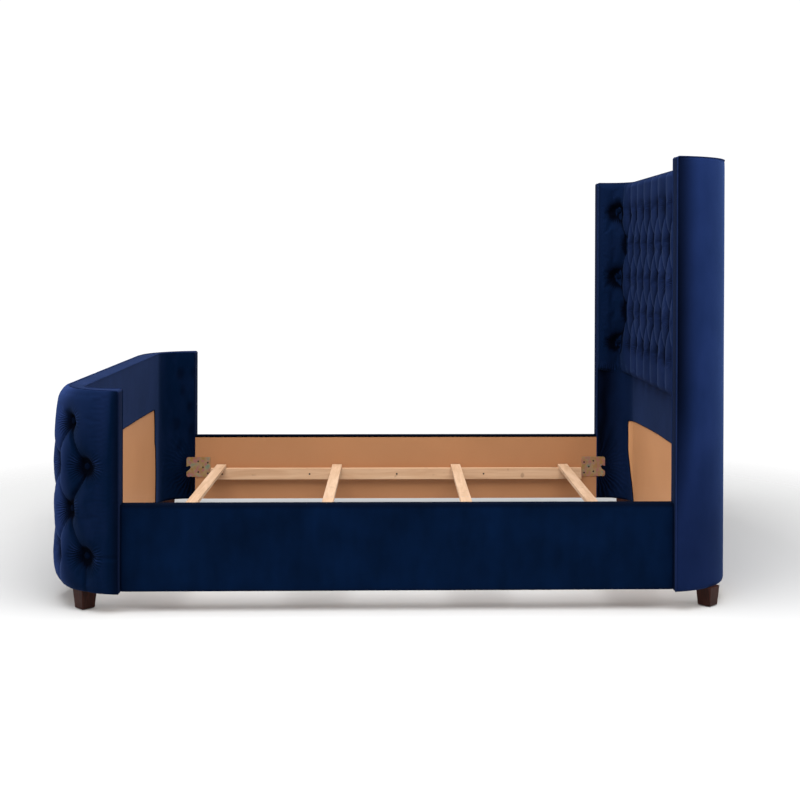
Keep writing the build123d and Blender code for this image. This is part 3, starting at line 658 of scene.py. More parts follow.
head_grid = dict(
    pitch=142.5 * MM, row_pitch=149 * MM, rows=5, draw=32 * MM, first=head_top - 128 * MM, shift=0.5,
    edge=5.5, edge_swing=-0.5, sway=7 * MM, seed=3, bend=1.2, shoulder=50 * MM, reach=38 * MM, pleat_rest=0.6,
    plain_top=False, pit=20 * MM, pleat=5 * MM, swell=0.62, cut=0.34, depth=27 * MM, folds=1.5 * MM,
    fan=68 * MM, gloom=1.5, gloom_reach=33 * MM, shade=1.3, wide=0.35,
)
foot_grid = dict(
    pitch=175 * MM, row_pitch=147 * MM, rows=4, draw=0.0, first=foot_top - 105 * MM, shift=0.5, edge=4.5,
    edge_swing=0.5, sway=8 * MM, seed=8, bend=1.35, shoulder=60 * MM, reach=38 * MM, pleat_rest=0.5,
    plain_top=True, pit=24 * MM, pleat=5 * MM, swell=0.36, cut=0.22, depth=38 * MM, folds=2.2 * MM,
    fan=80 * MM, gloom=1.55, gloom_reach=32 * MM, shade=0.75, wide=0.0,
)


def drawn_in(along, grid):
    """How much further out, on the regular lattice, a place counts: the wings' buttons are drawn inwards."""
    return grid["draw"] * smooth(wing_mark, wing_full, np.abs(along)) * np.sign(along)


def button_places(grid):
    """All buttons of a grid as (along, height).

    How far a button is drawn in depends on where it ends up, so its place is found in eight rounds."""
    places = []
    for row in range(grid["rows"]):
        limit = grid["edge"] + grid["edge_swing"] * (row % 2)
        count = round(2 * limit) + 1
        places += [((index - limit) * grid["pitch"], grid["first"] - row * grid["row_pitch"])
                   for index in range(count)]
    places = np.array(places)
    lattice = places[:, 0].copy()
    for _ in range(8):
        places[:, 0] = lattice - drawn_in(places[:, 0], grid)
    return places


def ladder_back(points, columns):
    """Faces behind a grid: bands that join its lowest row to its highest, closing it."""
    rows, total = points.shape[:2]
    index = np.arange(rows * total).reshape(rows, total)
    faces = []
    for start, stop in zip(columns, columns[1:]):
        low = index[0, start:stop + 1].tolist()
        high = index[-1, start:stop + 1].tolist()
        left = index[1:-1, 0].tolist() if start == 0 else []
        right = index[1:-1, -1].tolist() if stop == total - 1 else []
        faces.append(low + right + high[::-1] + left[::-1])
    return faces


def padded_piece(name, points, outside, marks, replaced):
    """A pad: its front and sides as a grid of points that faces outside, closed behind by bands."""
    faces = outward(points, grid_faces(*points.shape[:2]), outside)
    columns = points.shape[1] - 1
    stops = np.unique(np.round(np.linspace(0, columns, 60)).astype(int)).tolist()
    turned = faces[0][0] > faces[0][3]
    back = [face[::-1] if turned else face for face in ladder_back(points, stops)]
    piece = make_piece(name, points, faces + back, look["velvet"], "foam_velvet", **marks)
    for face in piece.data.polygons[len(faces):]:
        face.use_smooth = False
    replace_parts(piece, *replaced)
    return piece


def head_room(depth, reach):
    """How deep the headboard's pad is at a place of its plan, less a little.

    It is the lesser of the distances to the panel's face and to the wing's face, or in the corner what
    the corner's radius leaves past the distance from its centre."""
    past_depth = shell + inner_radius - depth
    past_reach = np.abs(reach) - flat_half
    corner = inner_radius - np.hypot(np.maximum(past_depth, 0), np.maximum(past_reach, 0))
    flat = np.minimum(depth - shell, half_clear - np.abs(reach))
    return np.where((past_depth > 0) & (past_reach > 0), corner, flat) - head_spare


def head_start():
    """The headboard's pad before its cloth settles: across the panel, round both inner corners and into
    the wings."""
    start, half = head_pad_start, head_pad_half
    run = half + head_pad_radius * math.pi / 2 + wing_depth - fabric - start - head_pad_radius
    high = head_top - pad_top_gap
    along, share = np.meshgrid(
        np.linspace(-run, run, round(2 * run / grid_step) + 1),
        np.linspace(0, 1, round((high - head_pad_foot) / grid_step) + 1),
    )
    low = head_pad_foot - head_pad_hang - head_pad_sag * smooth(half + 0.16, half - 0.04, np.abs(along))
    height = low + (high - low) * share
    depth, reach, ahead, aside = inner_path(along, start, half, head_pad_radius)
    directions = HEAD.direction(ahead, aside)
    wing = smooth(half - 0.04, half + 0.07, np.abs(along))
    hollow, _, _, hold, _ = tufts(along, height, head_grid)
    edge = np.abs(np.abs(along) - run)
    roll = rolled(edge, *head_rolls["front"])
    roll_top = rolled(high - height, *head_rolls["top"]) * (1 - 0.35 * wing)
    roll_foot = rolled(height - low, *head_rolls["foot"]) * (1 - 0.35 * wing)
    uneven = 0.8 * MM * ripple(along, height, 21, 0.16)
    hollow = np.maximum(hollow * (1 - 0.2 * wing) + roll + roll_top + roll_foot + uneven, 0)
    hollow = np.minimum(hollow, head_room(depth, reach))
    points = HEAD.place(depth, reach, height) - directions * hollow[..., None]
    rim = np.minimum(np.minimum(edge, high - height), height - low)
    hold = np.maximum(hold, smooth(rim_free, rim_held, rim))
    return dict(points=points, outside=directions, along=along, height=height, hold=hold, wing=wing,
                rim=rim, low=low, faces=outward(points, grid_faces(*points.shape[:2]), directions))


def head_tufting(points, start):
    """The headboard's pad with its creases, from its settled cloth."""
    along, height, wing, rim, low = (refined(start[key]) for key in ("along", "height", "wing", "rim", "low"))
    outside = refined(start["outside"])
    points = refined(points)
    _, creases, painted_shading, _, marks = tufts(along, height, head_grid)
    points = points - outside * (creases * (1 - smooth(20 * MM, 0, rim)))[..., None]
    room = head_room((points[..., 0] - HEAD.face) * HEAD.turn, points[..., 1])
    points = points + outside * np.maximum(-room, 0)[..., None]
    # Painted shade: weaker on the panel than on the wings, and darker near the pad's rims.
    painted_shading = painted_shading * (0.75 + 0.25 * wing) + 0.25 * smooth(14 * MM, 2 * MM, rim)
    pucker = smooth(60 * MM, 12 * MM, height - low) * (0.5 + 0.5 * ripple(along, along * 0, 17, 0.2))
    marks["turn"] = marks["turn"] + (along / (60 * MM) - marks["turn"]) * smooth(0.0, 0.3, pucker)
    marks["fan"] = np.maximum(marks["fan"] * (1 - pucker), 0.6 * pucker)
    # The wings go towards a black green, partly for the lie of the velvet's fibres, partly as painted shade.
    return padded_piece("head_tufting", points, outside, dict(marks, pile=painted_shading, nap=0.7 * wing),
                        ("head_pad_centre", "head_pad_left", "head_pad_right"))


def foot_reach(height):
    """How far the footboard's pad stands out: elliptical rolls at the top and the bottom."""
    rise = np.clip((height - (foot_top - foot_top_roll)) / foot_top_roll, 0, 1)
    fall = np.clip((underside + foot_bottom_roll - height) / foot_bottom_roll, 0, 1)
    out = foot_pad_edge + (foot_pad_depth - foot_pad_edge) * np.sqrt(1 - rise**2)
    return out - foot_bottom_step * (1 - np.sqrt(1 - fall**2))


def corner_circle(out):
    """Radius and whole angle of the plan round the footboard pad's corner, where the pad stands out so far.

    The circle leaves the front square on and meets the wing's front edge. Its radius is (w squared plus
    h squared) over 2w for a depth w and a width h of the corner."""
    wing_end = wing_depth - fabric
    wide = math.sqrt(corner_radius**2 - (corner_radius - wing_end) ** 2)
    wide = wide + foot_pad_edge * out / foot_pad_depth
    deep = wing_end + out
    radius = (deep**2 + wide**2) / (2 * deep)
    return radius, np.arctan2(wide, radius - deep)


def foot_surface(along, height):
    """Depth and reach on the footboard pad's crowns: flat, then the circle round the corner."""
    out = foot_reach(height)
    radius, whole = corner_circle(out)
    past = np.clip(np.abs(along) - arc_centre, 0, None) / (foot_run - arc_centre)
    angle = past * whole
    side = np.where(along < 0, -1.0, 1.0)
    depth = -out + radius * (1 - np.cos(angle))
    reach = side * (np.minimum(np.abs(along), arc_centre) + radius * np.sin(angle))
    return depth, reach


def foot_room(depth, reach):
    """How thick the footboard's pad is at a place of its plan, less a little: outside the wall's circle
    past the arc's start, and in front of the wall's flat face before it."""
    past = np.abs(reach) - arc_centre
    corner = np.hypot(corner_radius - depth, np.maximum(past, 0)) - corner_radius
    return np.where(past > 0, corner, -depth) - foot_spare


# Length from the middle round a corner at the pad's fullest height
foot_run = arc_centre + math.prod(corner_circle(foot_pad_depth))


def foot_start():
    """The footboard's pad before its cloth settles: across the outer face and round both corners to the
    wings' front edges."""
    low, high = underside, foot_top - pad_top_gap
    along, height = np.meshgrid(
        np.linspace(-foot_run, foot_run, round(2 * foot_run / grid_step) + 1),
        np.linspace(low, high, round((high - low) / grid_step) + 1),
    )
    depth, reach = foot_surface(along, height)
    base = FOOT.place(depth, reach, height)
    outside = FOOT.direction(*outer_path(along)[2:])
    directions = normals_of(base)
    directions *= np.sign(np.sum(directions * outside, axis=-1, keepdims=True))
    hollow, _, _, hold, _ = tufts(along, height, foot_grid)
    room = smooth(low - 0.01, low + 0.06, height) * smooth(high, high - 0.05, height)
    hollow = hollow * (0.2 + 0.8 * room)

    # A pleat from the lowest outer buttons to the wings' front edges
    last = foot_grid["first"] - (foot_grid["rows"] - 1) * foot_grid["row_pitch"]
    outer_button = (foot_grid["edge"] + foot_grid["edge_swing"]) * foot_grid["pitch"]
    pleat = smooth(outer_button, outer_button + 0.02, np.abs(along)) * (4 * MM)
    hollow = hollow + pleat * fade(height - last, 5 * MM, 2)
    hollow = np.maximum(hollow + 1.0 * MM * ripple(along, height, 33, 0.18), 0)
    hollow = np.minimum(hollow, foot_room(depth, reach))
    points = base - directions * hollow[..., None]
    rim = np.minimum(np.minimum(foot_run - np.abs(along), high - height), height - low)
    hold = np.maximum(hold, smooth(rim_free, rim_held, rim))
    hold = np.maximum(hold, 0.8 * smooth(outer_button, outer_button + 0.1, np.abs(along)))
    return dict(points=points, outside=outside, directions=directions, along=along, height=height, hold=hold,
                rim=rim, faces=outward(points, grid_faces(*points.shape[:2]), outside))


def widened(values):
    """What the points of the footboard's pad carry, copied to its two added rows below, its one above
    and its columns at either side."""
    values = np.concatenate([values[:1], values[:1], values, values[-1:]])
    return np.concatenate([values[:, :1], values, values[:, -1:]], axis=1)


def foot_tufting(points, start):
    """The footboard's pad with its creases, from its settled cloth, turned back to the wall above and
    below."""
    along, height, rim = (refined(start[key]) for key in ("along", "height", "rim"))
    outside, directions = refined(start["outside"]), refined(start["directions"])
    points = refined(points)
    _, creases, painted_shading, _, marks = tufts(along, height, foot_grid)
    points = points - directions * (creases * (1 - smooth(20 * MM, 0, rim)))[..., None]
    room = foot_room((points[..., 0] - FOOT.face) * FOOT.turn, points[..., 1])
    points = points + outside * np.maximum(-room, 0)[..., None]
    wing = smooth(arc_centre + 0.12, arc_centre + 0.24, np.abs(along))
    seam = fade(foot_run - np.abs(along), 18 * MM, 2)
    # Paler over the whole pad and painted light towards its top; painted shade on the wings and beside the
    # seams at the wings' fronts. The wings go towards a black green, partly for the lie of the velvet's
    # fibres, partly as painted shade.
    painted_shading = painted_shading - 0.55 - 0.15 * smooth(0.5, 0.68, height) + 0.5 * wing + 0.7 * seam
    marks["nap"] = 0.95 * wing
    wall_depth, wall_reach, _, _ = outer_path(along[0] * outer_run / foot_run)
    first = FOOT.place(wall_depth, wall_reach, underside)
    last = FOOT.place(wall_depth, wall_reach, foot_top - pad_top_gap)
    points = np.concatenate([first[None], (first[None] + points[:1]) / 2, points, last[None]])

    # The sides turn in behind the welts at the wings' fronts
    end_depth, end_reach, _, _ = outer_path(outer_run, inset=1 * MM)
    right = FOOT.place(end_depth - 0.5 * MM, end_reach, points[:, 0, 2])[:, None]
    points = np.concatenate([right * (1, -1, 1), points, right], axis=1)
    marks = {mark: widened(values) for mark, values in dict(marks, pile=painted_shading).items()}
    return padded_piece("foot_tufting", points, widened(outside), marks,
                        ("foot_pad_centre", "foot_pad_left", "foot_pad_right"))


def button_shape():
    """A covered button about its own axis: a low dome above, drawn in below. Rows of (radius, height)."""
    turn = np.linspace(0, math.pi / 2, 6)
    upper = np.stack([button_radius * np.sin(turn), button_dome * np.cos(turn)], axis=1)
    lower = np.array([[button_radius * 0.96, -1.2 * MM], [button_radius * 0.8, -3.0 * MM], [0, -3.4 * MM]])
    return np.concatenate([upper, lower])


def buttons(name, places, directions, replaced):
    """All buttons of an end in one piece, each turned to its own direction."""
    shape = button_shape()
    sides = 20
    turn = np.arange(sides) * 2 * math.pi / sides
    points, faces = [], []
    for place, direction in zip(places, directions):
        first = np.cross(direction, (0, 0, 1.0))
        first /= np.linalg.norm(first)
        second = np.cross(direction, first)
        ring = np.cos(turn)[:, None] * first + np.sin(turn)[:, None] * second
        body = place + shape[:, 0, None, None] * ring[None] + shape[:, 1, None, None] * direction
        start = sum(len(p) for p in points)
        inner = body[1:-1].reshape(-1, 3)
        points += [place[None] + shape[0, 1] * direction, inner, place[None] + shape[-1, 1] * direction]
        rings = len(shape) - 2
        quads = np.array(grid_faces(rings, sides, closed=True))
        faces += (quads % (rings * sides) + start + 1).tolist()
        last = start + 1 + rings * sides
        for index in range(sides):
            after = (index + 1) % sides
            faces.append([start, start + 1 + index, start + 1 + after])
            under = last - sides
            faces.append([last, under + after, under + index])
    points = np.concatenate(points)
    # Painted shade darkens the buttons, as they lie in their dimples.
    piece = make_piece(name, points, faces, look["velvet_dark"], "velvet", pile=np.full(len(points), 0.65))
    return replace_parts(piece, replaced)


def head_button_group():
    """Buttons of the headboard, on the bottoms of their dimples."""
    places = button_places(head_grid)
    depth, reach, ahead, aside = inner_path(places[:, 0], head_pad_start, head_pad_half, head_pad_radius)
    sunk = np.minimum(head_grid["depth"] * button_depth_share, head_room(depth, reach)) - button_lift
    directions = HEAD.direction(ahead, aside)
    middle = HEAD.place(depth, reach, places[:, 1]) - directions * sunk[:, None]
    return buttons("head_button_set", middle, directions, "head_buttons")


def foot_button_group():
    """Buttons of the footboard, on the bottoms of their dimples."""
    places = button_places(foot_grid)
    nudge = 1 * MM
    here = FOOT.place(*foot_surface(places[:, 0], places[:, 1]), places[:, 1])
    beside = FOOT.place(*foot_surface(places[:, 0] + nudge, places[:, 1]), places[:, 1])
    above = FOOT.place(*foot_surface(places[:, 0], places[:, 1] + nudge), places[:, 1] + nudge)
    directions = np.cross(beside - here, above - here)
    directions /= np.linalg.norm(directions, axis=1, keepdims=True)
    outside = FOOT.direction(*outer_path(places[:, 0])[2:])
    directions *= np.sign(np.sum(directions * outside, axis=1, keepdims=True))
    room = foot_room(*foot_surface(places[:, 0], places[:, 1]))
    sunk = np.minimum(foot_grid["depth"] * button_depth_share, room) - button_lift
    return buttons("foot_button_set", here - directions * sunk[:, None], directions, "foot_buttons")


# Covers, bands and welts


def outer_cover():
    """The headboard's back and sides: one stretched sheet, drawn in beside its seams."""
    along, height = np.meshgrid(
        np.linspace(-outer_run, outer_run, 260), np.linspace(underside, head_top - fabric, 170)
    )
    depth, reach, ahead, aside = outer_path(along)
    directions = HEAD.direction(ahead, aside)
    front = outer_run - np.abs(along)
    seam = 3.4 * MM * fade(front, 14 * MM) + 1.6 * MM * fade(head_top - height, 12 * MM)
    hem = rolled(height - underside, 2.2 * MM, 8 * MM)
    side = smooth(arc_centre, arc_centre + 0.1, np.abs(along))
    hollow = seam + hem + 0.4 * MM * (1 + ripple(along, height, 5, 0.5)) - 2.6 * MM * side
    hollow = np.minimum(hollow, 1.2 * MM)
    # Painted shade beside the front seam and towards the foot of the sides, painted light near the top.
    low = smooth(0.8, 0.15, height) * side
    dim = 0.95 * fade(front, 55 * MM, 2) * (1 - 0.6 * low) - 0.1 * smooth(1.0, 1.45, height)
    dim = np.maximum(dim, 0.45 * low)
    points = HEAD.place(depth, reach, height) - directions * hollow[..., None]
    faces = outward(points, grid_faces(*points.shape[:2]), directions)
    piece = make_piece("head_cover", points, faces, look["velvet_pale"], "velvet", pile=dim)
    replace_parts(piece, "head_outer_cover")
    return thicken(piece, cover_cloth)


def band_edges(end, up=70, bend=7, back=46, across=150):
    """The band's inner and outer edges from the foot of one wing over the top to the other's.

    Both run up the wing's front, round its upper corner, back over the wing and across the panel to the
    middle, at shares of their own lengths and with so many points each. Gives both edges' points, the
    band's outward directions and how upright it is."""
    rise = np.linspace(underside, end.top - band_round, up)
    turn = np.linspace(0, math.pi / 2, bend)[1:-1]
    back_share = np.linspace(0, 1, back)
    flat_share = np.linspace(0, 1, across)[1:]
    level = len(back_share) + len(flat_share)
    height = np.concatenate([rise, end.top - band_round * (1 - np.sin(turn)), np.full(level, end.top)])
    pull = np.concatenate([np.zeros(len(rise)), band_round * (1 - np.cos(turn)), np.zeros(level)])
    lean = np.concatenate([np.zeros(len(rise)), np.sin(turn), np.ones(level)])
    sides = []
    for path, whole, flat in ((inner_path, inner_run, flat_half), (outer_path, outer_run, arc_centre)):
        upright_part = np.full(len(rise) + len(turn), whole)
        over_wing = whole - band_round - (whole - flat - band_round) * back_share
        depth, reach, _, _ = path(np.concatenate([upright_part, over_wing, flat * (1 - flat_share)]) - pull)
        sides.append(both_sides(end.place(depth, reach, height), (1, -1, 1)))
    forwards = end.direction(np.sqrt(1 - lean**2), 0.0, lean)
    directions = both_sides(forwards, (1, -1, 1))
    upright = both_sides(1 - lean, 1)
    return sides[0], sides[1], directions, upright


def edge_band(end):
    """The boxing strip over the wings' fronts and the top, a little crowned across its width."""
    inner, outer, directions, upright = band_edges(end)
    share = np.linspace(0, 1, 15)
    across = inner[:, None] + (outer - inner)[:, None] * share[None, :, None]
    sunk = 2.4 * MM * np.abs(2 * share - 1) ** 3 - 1.6 * MM
    length = np.arange(len(inner)) * 10 * MM
    uneven = 0.2 * MM * (1 + ripple(length[:, None], share[None] * shell, 12 + len(end.name), 0.3))
    points = across - directions[:, None] * (sunk[None, :, None] + uneven[..., None])
    wide = np.broadcast_to(directions[:, None], points.shape)
    faces = outward(points, grid_faces(*points.shape[:2]), wide)
    # Painted shade on the band's upright parts; its top is left lighter.
    painted_shading = np.broadcast_to((0.62 * upright)[:, None], points.shape[:2])
    piece = make_piece(f"{end.name}_band", points, faces, look["velvet"], "velvet", pile=painted_shading)
    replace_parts(piece, f"{end.name}_edge_band")
    return thicken(piece, band_cloth)


def tube(path, radius, sides=10):
    """Rings of points round a path, each starting square to the path and to one fixed direction."""
    tangent = np.gradient(path, axis=0)
    tangent /= np.linalg.norm(tangent, axis=1, keepdims=True)
    first = np.cross(tangent, (0.31, 0.17, 0.93))
    first /= np.linalg.norm(first, axis=1, keepdims=True)
    second = np.cross(tangent, first)
    turn = np.arange(sides) * 2 * math.pi / sides
    ring = np.cos(turn)[None, :, None] * first[:, None] + np.sin(turn)[None, :, None] * second[:, None]
    return path[:, None] + radius * ring


def welts(end):
    """Thin self-welts along both edges of the boxing strip."""
    inner, outer, directions, upright = band_edges(end)
    points, faces = [], []
    for path in (inner, outer):
        rings = tube(path - directions * welt_sink, welt_radius)
        start = sum(len(p) for p in points)
        quads = np.array(grid_faces(*rings.shape[:2], closed=True)) + start
        faces += quads[:, ::-1].tolist()
        count, sides = rings.shape[:2]
        end_start = start + (count - 1) * sides
        faces += [list(range(start, start + sides))[::-1], list(range(end_start, end_start + sides))]
        points.append(rings.reshape(-1, 3))
    # Painted shade on the footboard's welts where they stand upright, painted light on the headboard's.
    painted_shading = np.tile(np.repeat((0.6 if end is FOOT else -0.15) * upright, sides), 2)
    points = np.concatenate(points)
    return make_piece(f"{end.name}_welts", points, faces, look["velvet"], "velvet", pile=painted_shading)


HEAD_WINDOW = dict(
    sides=((66, 652), (90, 664), (170, 690), (250, 709), (290, 716), (426, 717)), rise=21, corner=9
)
FOOT_WINDOW = dict(
    sides=((66, 607), (120, 610), (220, 613), (310, 606), (330, 602), (342, 590), (420, 588), (492, 581)),
    rise=6, corner=13,
)


def window_edge(window, steps):
    """The trimmed window's edge from its left foot over the top to its right foot, as (along, height).

    The sides are as the scissors left them, given as heights and half widths in mm. The top is a
    parabola with its crown in the middle, and the corners are round."""
    heights, widths = np.array(window["sides"]).T * MM
    corner = window["corner"] * MM
    top, half_width = heights[-1], widths[-1]
    rise = np.linspace(underside, top - corner, steps)
    spread = np.convolve(np.pad(np.interp(rise, heights, widths), 1, mode="edge"), (0.25, 0.5, 0.25), "valid")
    side = np.stack([spread, rise], 1)
    turn = np.linspace(0, math.pi / 2, 9)[1:-1]
    bend = np.stack([half_width - corner + corner * np.cos(turn), top - corner + corner * np.sin(turn)], 1)
    cross = np.linspace(half_width - corner, 0, 2 * steps)
    crown = np.stack([cross, top + window["rise"] * MM * (1 - (cross / cross[0]) ** 2)], 1)
    half = np.concatenate([side, bend, crown])
    return both_sides(half, (-1, 1))


def inner_cover(end, top, window, seed):
    """The plain cover on an end's inner face, trimmed by hand round its window.

    A grid runs from the window's edge to the cover's own edge: up the wing's front, along the top and
    down the other wing."""
    steps = 40
    edge = window_edge(window, steps)
    middle = len(edge) // 2
    wave = 1.2 * MM * ripple(edge[:, 0], edge[:, 1], seed, 0.07)
    edge = edge + np.stack([wave, wave], 1) * np.clip(edge[:, 1:] - underside, 0, 0.02) / 0.02
    side_count = steps + 4
    rise = np.linspace(underside, top, side_count)
    far = np.linspace(inner_run, 0, middle - side_count + 2)[1:]
    side = np.stack([np.full(side_count, inner_run), rise], 1)
    half = np.concatenate([side, np.stack([far, np.full(len(far), top)], 1)])
    outer = both_sides(half, (-1, 1))
    share = np.linspace(0, 1, 60)
    flat = edge[:, None] + (outer - edge)[:, None] * share[None, :, None]
    along, height = flat[..., 0], flat[..., 1]
    depth, reach, ahead, aside = inner_path(along)
    directions = end.direction(ahead, aside)
    front = inner_run - np.abs(along)
    plate_middle = (plate_low.z + plate_high.z) / 2
    from_plate = np.hypot(front, height - plate_middle)
    turn = np.arctan2(height - plate_middle, front)
    pull = fade(from_plate - 80 * MM, 70 * MM, 2)
    below = 0.25 + 0.75 * smooth(-0.2, -0.9, turn)
    tension = np.sin(turn * 9 + 4 * ripple(along, height, seed + 2, 0.3)) * 0.9 * MM * pull * below
    slack = 1.1 * MM * ripple(along, height, seed + 1, 0.22)
    slack = slack * smooth(flat_half - 0.1, flat_half + 0.08, np.abs(along))
    seam = 2.4 * MM * fade(front, 10 * MM)
    hollow = np.minimum(tension + slack + seam - 1.4 * MM, 1.2 * MM)
    points = end.place(depth, reach, height) - directions * hollow[..., None]
    faces = outward(points, grid_faces(*points.shape[:2]), directions)
    # Painted shade: a little on the flat panel, darker by the wings' fronts (low down on the footboard), in
    # streaks round the hook plate and in patches, and a dark line along the trimmed edge. The wings go
    # towards a black green, partly for the lie of the velvet's fibres, partly as painted shade.
    flat = smooth(flat_half + 0.05, flat_half - 0.03, np.abs(along))
    streaks = 0.85 + 0.15 * np.sin(turn * 23 + 3 * ripple(along, height, seed + 3, 0.2))
    if end is FOOT:
        dark = fade(front, 85 * MM, 2) * fade(height - 130 * MM, 75 * MM, 2)
        dark = dark + 0.5 * fade(front, 30 * MM, 2) * smooth(0.5, 0.35, height)
    else:
        dark = fade(front, 82 * MM, 3)
    patches = smooth(0.05, 0.4, ripple(along * 1.5, height, seed + 5, 0.14))
    patches = patches * smooth(130 * MM, 60 * MM, front)
    dark = np.maximum(dark, 0.55 * patches)
    trimmed = np.linalg.norm(outer - edge, axis=1)[:, None] * share[None]
    painted_shading = 0.12 * flat + dark * streaks + smooth(4 * MM, 1 * MM, trimmed)
    nap = (0.95 if end is FOOT else 0.6) * (1 - flat)
    piece = make_piece(f"{end.name}_lining", points, faces, look["velvet"], "velvet", pile=painted_shading, nap=nap,
                       turn=turn, fan=0.6 * pull * below)
    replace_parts(piece, f"{end.name}_inner_cover")
    return thicken(piece, lining_cloth)


def rail_padding(name, sign):
    """A rail's padded cover: its closed outline carried along the rail, drawn in at both ends.

    The outline goes outwards from the board's foot, up the outside, over the top, a little down the
    inside to the hem and back over the board."""
    low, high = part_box(name)
    inner, outer = half_clear, rail_high.y
    board = inner + rail_board
    wrap = rail_top - rail_wrap
    round_top, round_foot = 11 * MM, 12 * MM
    lip, lip_aside, lip_below = 3 * MM, 0.8 * MM, 0.9 * MM
    hem, hem_aside, fold_aside = 6 * MM, 0.6 * MM, 1 * MM
    turn = np.linspace(0, math.pi / 2, 8)
    face = np.linspace(underside + round_foot, rail_top - round_top, 40)
    top = np.linspace(outer - round_top, inner + lip, 12)
    outline = [(board, underside)]
    outline += [
        (outer - round_foot + round_foot * math.sin(t), underside + round_foot * (1 - math.cos(t)))
        for t in turn
    ]
    outline += [(outer, z) for z in face[1:-1]]
    outline += [
        (outer - round_top * (1 - math.cos(t)), rail_top - round_top * (1 - math.sin(t)))
        for t in turn
    ]
    outline += [(y, rail_top) for y in top[1:]]
    outline += [(inner + lip_aside, rail_top - lip_below), (inner, rail_top - lip), (inner, wrap - hem)]
    outline += [(inner + hem_aside, wrap - hem), (inner + fold_aside, wrap), (board, wrap)]
    outline = np.array(outline)
    length = high.x - low.x
    share = np.linspace(0, 1, 220)
    along = low.x + length * share
    ends = np.minimum(along - low.x, high.x - along)
    drawn = 2.2 * MM * fade(ends, 7 * MM)
    middle = (underside + rail_top) / 2
    points = np.zeros((len(along), len(outline), 3))
    y = np.broadcast_to(outline[None, :, 0], points.shape[:2]).copy()
    z = np.broadcast_to(outline[None, :, 1], points.shape[:2]).copy()
    outside = smooth(board, outer, y)
    swell = 0.7 * MM * (ripple(along[:, None] * 0.6, z, 40 + sign, 0.35) - 1)
    y += outside * (swell - drawn[:, None])
    z += (drawn[:, None] * 0.7 + 0.5 * MM * (1 - ripple(along[:, None], y, 50 + sign, 0.45))) * np.where(
        z < middle, 1, -1) * smooth(board - 3 * MM, outer, y)
    points[..., 0] = along[:, None]
    points[..., 1] = sign * y
    points[..., 2] = z
    faces = grid_faces(*points.shape[:2], closed=True)
    count = len(outline)
    total = points.shape[0] * count
    caps = [list(range(count)), list(range(total - 1, total - count - 1, -1))]
    first = np.array([points.reshape(-1, 3)[i] for i in faces[20]])
    normal = np.cross(first[1] - first[0], first[2] - first[1])
    if normal[1] * sign < 0:
        faces = [face[::-1] for face in faces]
        caps = [cap[::-1] for cap in caps]
    # Painted shade along the top of the rail's cover.
    painted_shading = 0.75 * smooth(rail_top - 16 * MM, rail_top - 4 * MM, points[..., 2])
    piece = make_piece(name.replace("cover", "padding"), points, faces + caps, look["velvet_dark"],
                       "foam_velvet", pile=painted_shading)
    for face in piece.data.polygons[-2:]:
        face.use_smooth = False
    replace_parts(piece, name)
    return piece


starts = [head_start(), foot_start()]
starts[0].update(pressure=4.0, extra=0.008, bending=4.0, most=12 * MM)
starts[1].update(pressure=1.8, extra=0.008, bending=4.0, most=14 * MM)
head_cloth, foot_cloth = settled(starts)
head_tufting(head_cloth, starts[0])
foot_tufting(foot_cloth, starts[1])
head_button_group()
foot_button_group()
outer_cover()
for end in (HEAD, FOOT):
    edge_band(end)
    welts(end)
inner_cover(HEAD, head_pad_foot + 6 * MM, HEAD_WINDOW, 61)
inner_cover(FOOT, foot_top - 0.6 * MM, FOOT_WINDOW, 71)
rail_padding("rail_cover_left", -1)
rail_padding("rail_cover_right", 1)


# Studio


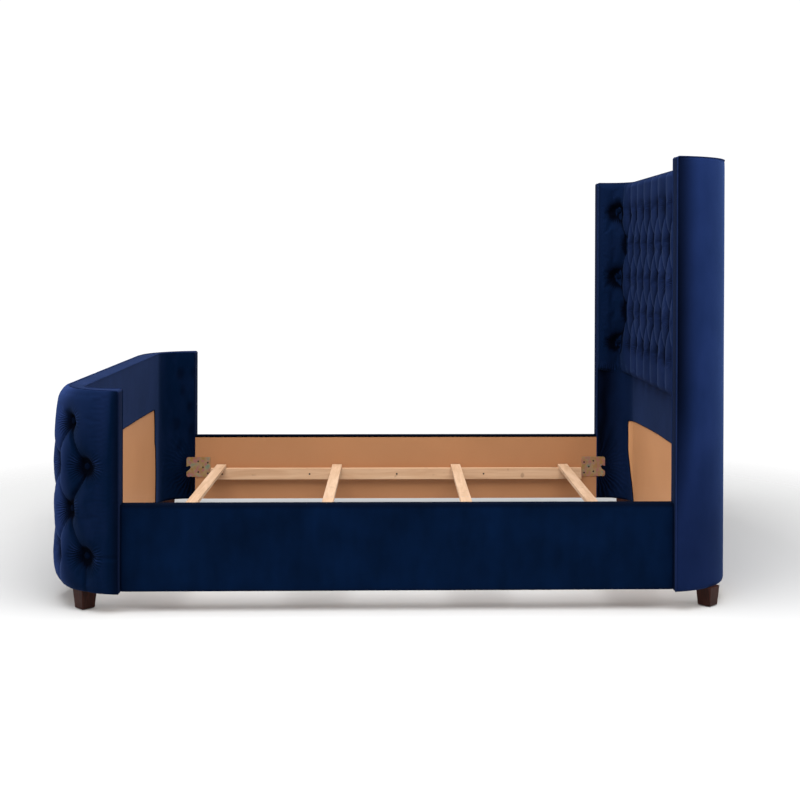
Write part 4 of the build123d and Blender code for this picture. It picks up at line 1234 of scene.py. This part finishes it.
def studio():
    """A white floor and soft light from above."""
    floor_size, floor_reach, floor_fade = 40, 3.1, 1.5
    bpy.ops.mesh.primitive_plane_add(size=floor_size)
    floor = bpy.context.object
    floor.name = "floor"
    paint = Paint("floor")
    apart = paint.node("ShaderNodeVectorMath", 1, {"operation": "LENGTH"}, Vector=paint.place)
    floor.data.materials.append(paint.finish(
        Base_Color=(0.5, 0.5, 0.5, 1), Roughness=0.9, Specular_IOR_Level=0.0,
        Alpha=((floor_reach - apart) / floor_fade).clamp(),
    ))

    world = bpy.data.worlds.new("studio")
    bpy.context.scene.world = world
    bpy.context.scene.view_settings.view_transform = "Standard"
    world.use_nodes = True
    tree = world.node_tree
    dim = tree.nodes["Background"]
    dim.inputs["Color"].default_value = (1, 1, 1, 1)
    dim.inputs["Strength"].default_value = 0.48
    white = tree.nodes.new("ShaderNodeBackground")
    white.inputs["Color"].default_value = (1, 1, 1, 1)
    white.inputs["Strength"].default_value = 1.05
    seen = tree.nodes.new("ShaderNodeLightPath")
    either = tree.nodes.new("ShaderNodeMixShader")
    tree.links.new(seen.outputs["Is Camera Ray"], either.inputs[0])
    tree.links.new(dim.outputs[0], either.inputs[1])
    tree.links.new(white.outputs[0], either.inputs[2])
    tree.links.new(either.outputs[0], tree.nodes["World Output"].inputs["Surface"])

    for name, place, aim, size, power in (
        ("top", (0.0, -1.7, 4.4), (0, -0.2, 0), 4.6, 420),
        ("right", (4.6, -2.2, 2.2), (0.6, 0, 0.7), 2.6, 100),
        ("left", (-4.6, -1.6, 2.4), (-0.4, 0, 0.6), 2.6, 95),
    ):
        data = bpy.data.lights.new(name, "AREA")
        data.size = size
        data.energy = power
        lamp = bpy.data.objects.new(name, data)
        bpy.context.scene.collection.objects.link(lamp)
        lamp.location = place
        lamp.rotation_euler = (Vector(aim) - Vector(place)).to_track_quat("-Z", "Y").to_euler()


def photo_camera():
    """The camera that the photograph was taken with, level with the bed's upper half."""
    yaw, pitch, roll = 0.0285, 0.0064, 0.0031
    focal_pixels, width = 1259.0, 800.0
    centre_column, centre_row = 427.47, 261.33
    eye = (0.0004, -4.9594, 1.1818)
    data = bpy.data.cameras.new("photo")
    data.sensor_width = 36.0
    data.lens = focal_pixels / width * data.sensor_width
    data.shift_x = (width / 2 - centre_column) / width
    data.shift_y = (centre_row - width / 2) / width
    data.clip_end = 100
    camera = bpy.data.objects.new("photo", data)
    bpy.context.scene.collection.objects.link(camera)
    forward = Vector((math.sin(yaw) * math.cos(pitch), math.cos(yaw) * math.cos(pitch), -math.sin(pitch)))
    right = forward.cross(Vector((0, 0, 1))).normalized()
    up = right.cross(forward)
    leaning = right * math.cos(roll) + up * math.sin(roll)
    upright = up * math.cos(roll) - right * math.sin(roll)
    turn = Matrix((leaning, upright, -forward)).transposed()
    camera.matrix_world = Matrix.Translation(eye) @ turn.to_4x4()
    bpy.context.scene.camera = camera


studio()
photo_camera()
